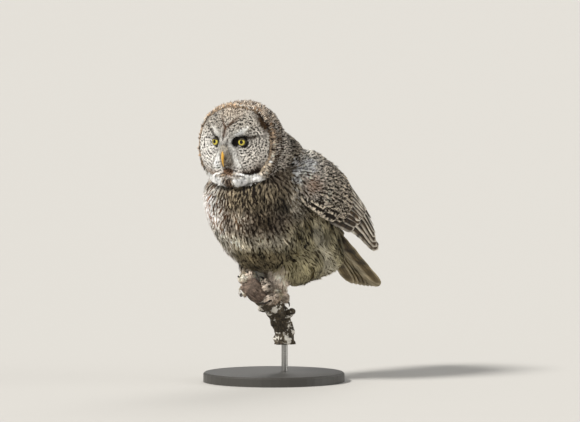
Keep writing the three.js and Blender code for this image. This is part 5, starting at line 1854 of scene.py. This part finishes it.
# %% Cover it with bark, lichen and bare wood
# Dead bark is dull, with dark cracks between its plates and pale lichen on it. Bare wood shows its fibres.
bark, tree = new_material("dead bark with lichen")
place = add(tree, "TexCoord", **OBJECT_PLACE)
coarse = add(tree, "TexNoise", {"Vector": place, "Scale": 90.0, "Detail": 5.0, "Roughness": 0.65})
plates = add(tree, "Mapping", {"Vector": place, "Scale": (1.0, 1.0, 0.45)})
cracks = add(tree, "TexVoronoi", {"Vector": plates, "Scale": 190.0}, feature="DISTANCE_TO_EDGE")
tone = add(tree, "MapRange", {0: coarse, 1: 0.32, 2: 0.68})
brown = add(tree, "Mix", {0: tone, 6: paint("#231b12"), 7: paint("#6a5f4d")}, **RGB)
crack = add(tree, "MapRange", {0: cracks, 1: 0.0, 2: 0.12, 3: 0.35, 4: 1.0}, **SMOOTH)
brown = add(tree, "Mix", {0: 1.0, 6: brown, 7: crack}, **MULTIPLIED)
patches = add(tree, "TexNoise", {"Vector": place, "Scale": 42.0, "Detail": 4.0, "Roughness": 0.7})
lichen = add(tree, "MapRange", {0: patches, 1: 0.54, 2: 0.59, 3: 0.0, 4: 0.95}, **SMOOTH)
mossy = add(tree, "Mix", {0: lichen, 6: brown, 7: paint("#e2ddd2")}, **RGB)
fibres = add(tree, "Attribute", attribute_name="Fibres", **VECTOR)
grain = add(tree, "TexNoise", {"Vector": fibres, "Scale": 420.0, "Detail": 4.0, "Roughness": 0.7})
grain = add(tree, "MapRange", {0: grain, 1: 0.34, 2: 0.66})
wood = add(tree, "Mix", {0: grain, 6: paint("#33251b"), 7: paint("#b39c8b")}, **RGB)
stains = add(tree, "MapRange", {0: coarse, 1: 0.40, 2: 0.60, 3: 0.45, 4: 1.0}, **SMOOTH)
wood = add(tree, "Mix", {0: 1.0, 6: wood, 7: stains}, **MULTIPLIED)
is_bare = add(tree, "Attribute", attribute_name="Bare", **NUMBER)
fray = add(tree, "Math", {0: coarse, 1: 0.9, 2: -0.45}, operation="MULTIPLY_ADD")
ragged = add(tree, "Math", {0: is_bare, 1: fray}, operation="ADD")
ragged = add(tree, "MapRange", {0: ragged, 1: 0.42, 2: 0.55}, **SMOOTH)
color = add(tree, "Mix", {0: ragged, 6: mossy, 7: wood}, **RGB)
height = add(tree, "Math", {0: coarse, 1: 0.8, 2: crack}, operation="MULTIPLY_ADD")
height = add(tree, "Mix", {0: ragged, 2: height, 3: grain}, data_type="FLOAT")
relief = add(tree, "Bump", {"Strength": 0.8, "Distance": 0.001, "Height": height})
finish_material(tree, {"Base Color": color, "Roughness": 0.92, "Normal": relief})
dress(perch, bark)
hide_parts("perch")
print("bark:", len(tree.nodes), "nodes")

# %% Finish the stand
# Satin paint lies in fine waves, so it spreads a lamp's light into a soft patch.
satin = mottled("satin paint on turned metal", ("#34322f", "#43413d"), 0.45, 700.0, 2.0, (0.08, 0.0002))
# The brush went round the rod, and its fine rings draw the highlight out along it.
steel, tree = new_material("brushed steel rod")
place = add(tree, "TexCoord", **OBJECT_PLACE)
turned = add(tree, "Mapping", {"Vector": place, "Scale": (1.0, 1.0, 14.0)})
brushed = add(tree, "TexNoise", {"Vector": turned, "Scale": 160.0, "Detail": 3.0})
color = add(tree, "Mix", {0: brushed, 6: paint("#8b8a87"), 7: paint("#b9b8b4")}, **RGB)
rough = add(tree, "MapRange", {0: brushed, 1: 0.3, 2: 0.7, 3: 0.25, 4: 0.42})
finish_material(tree, {"Base Color": color, "Metallic": 1.0, "Roughness": rough})
for node, material in {"stand_base": satin, "stand_rod": steel}.items():
    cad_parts[node].data.materials.clear()
    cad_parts[node].data.materials.append(material)
print("stand finished")
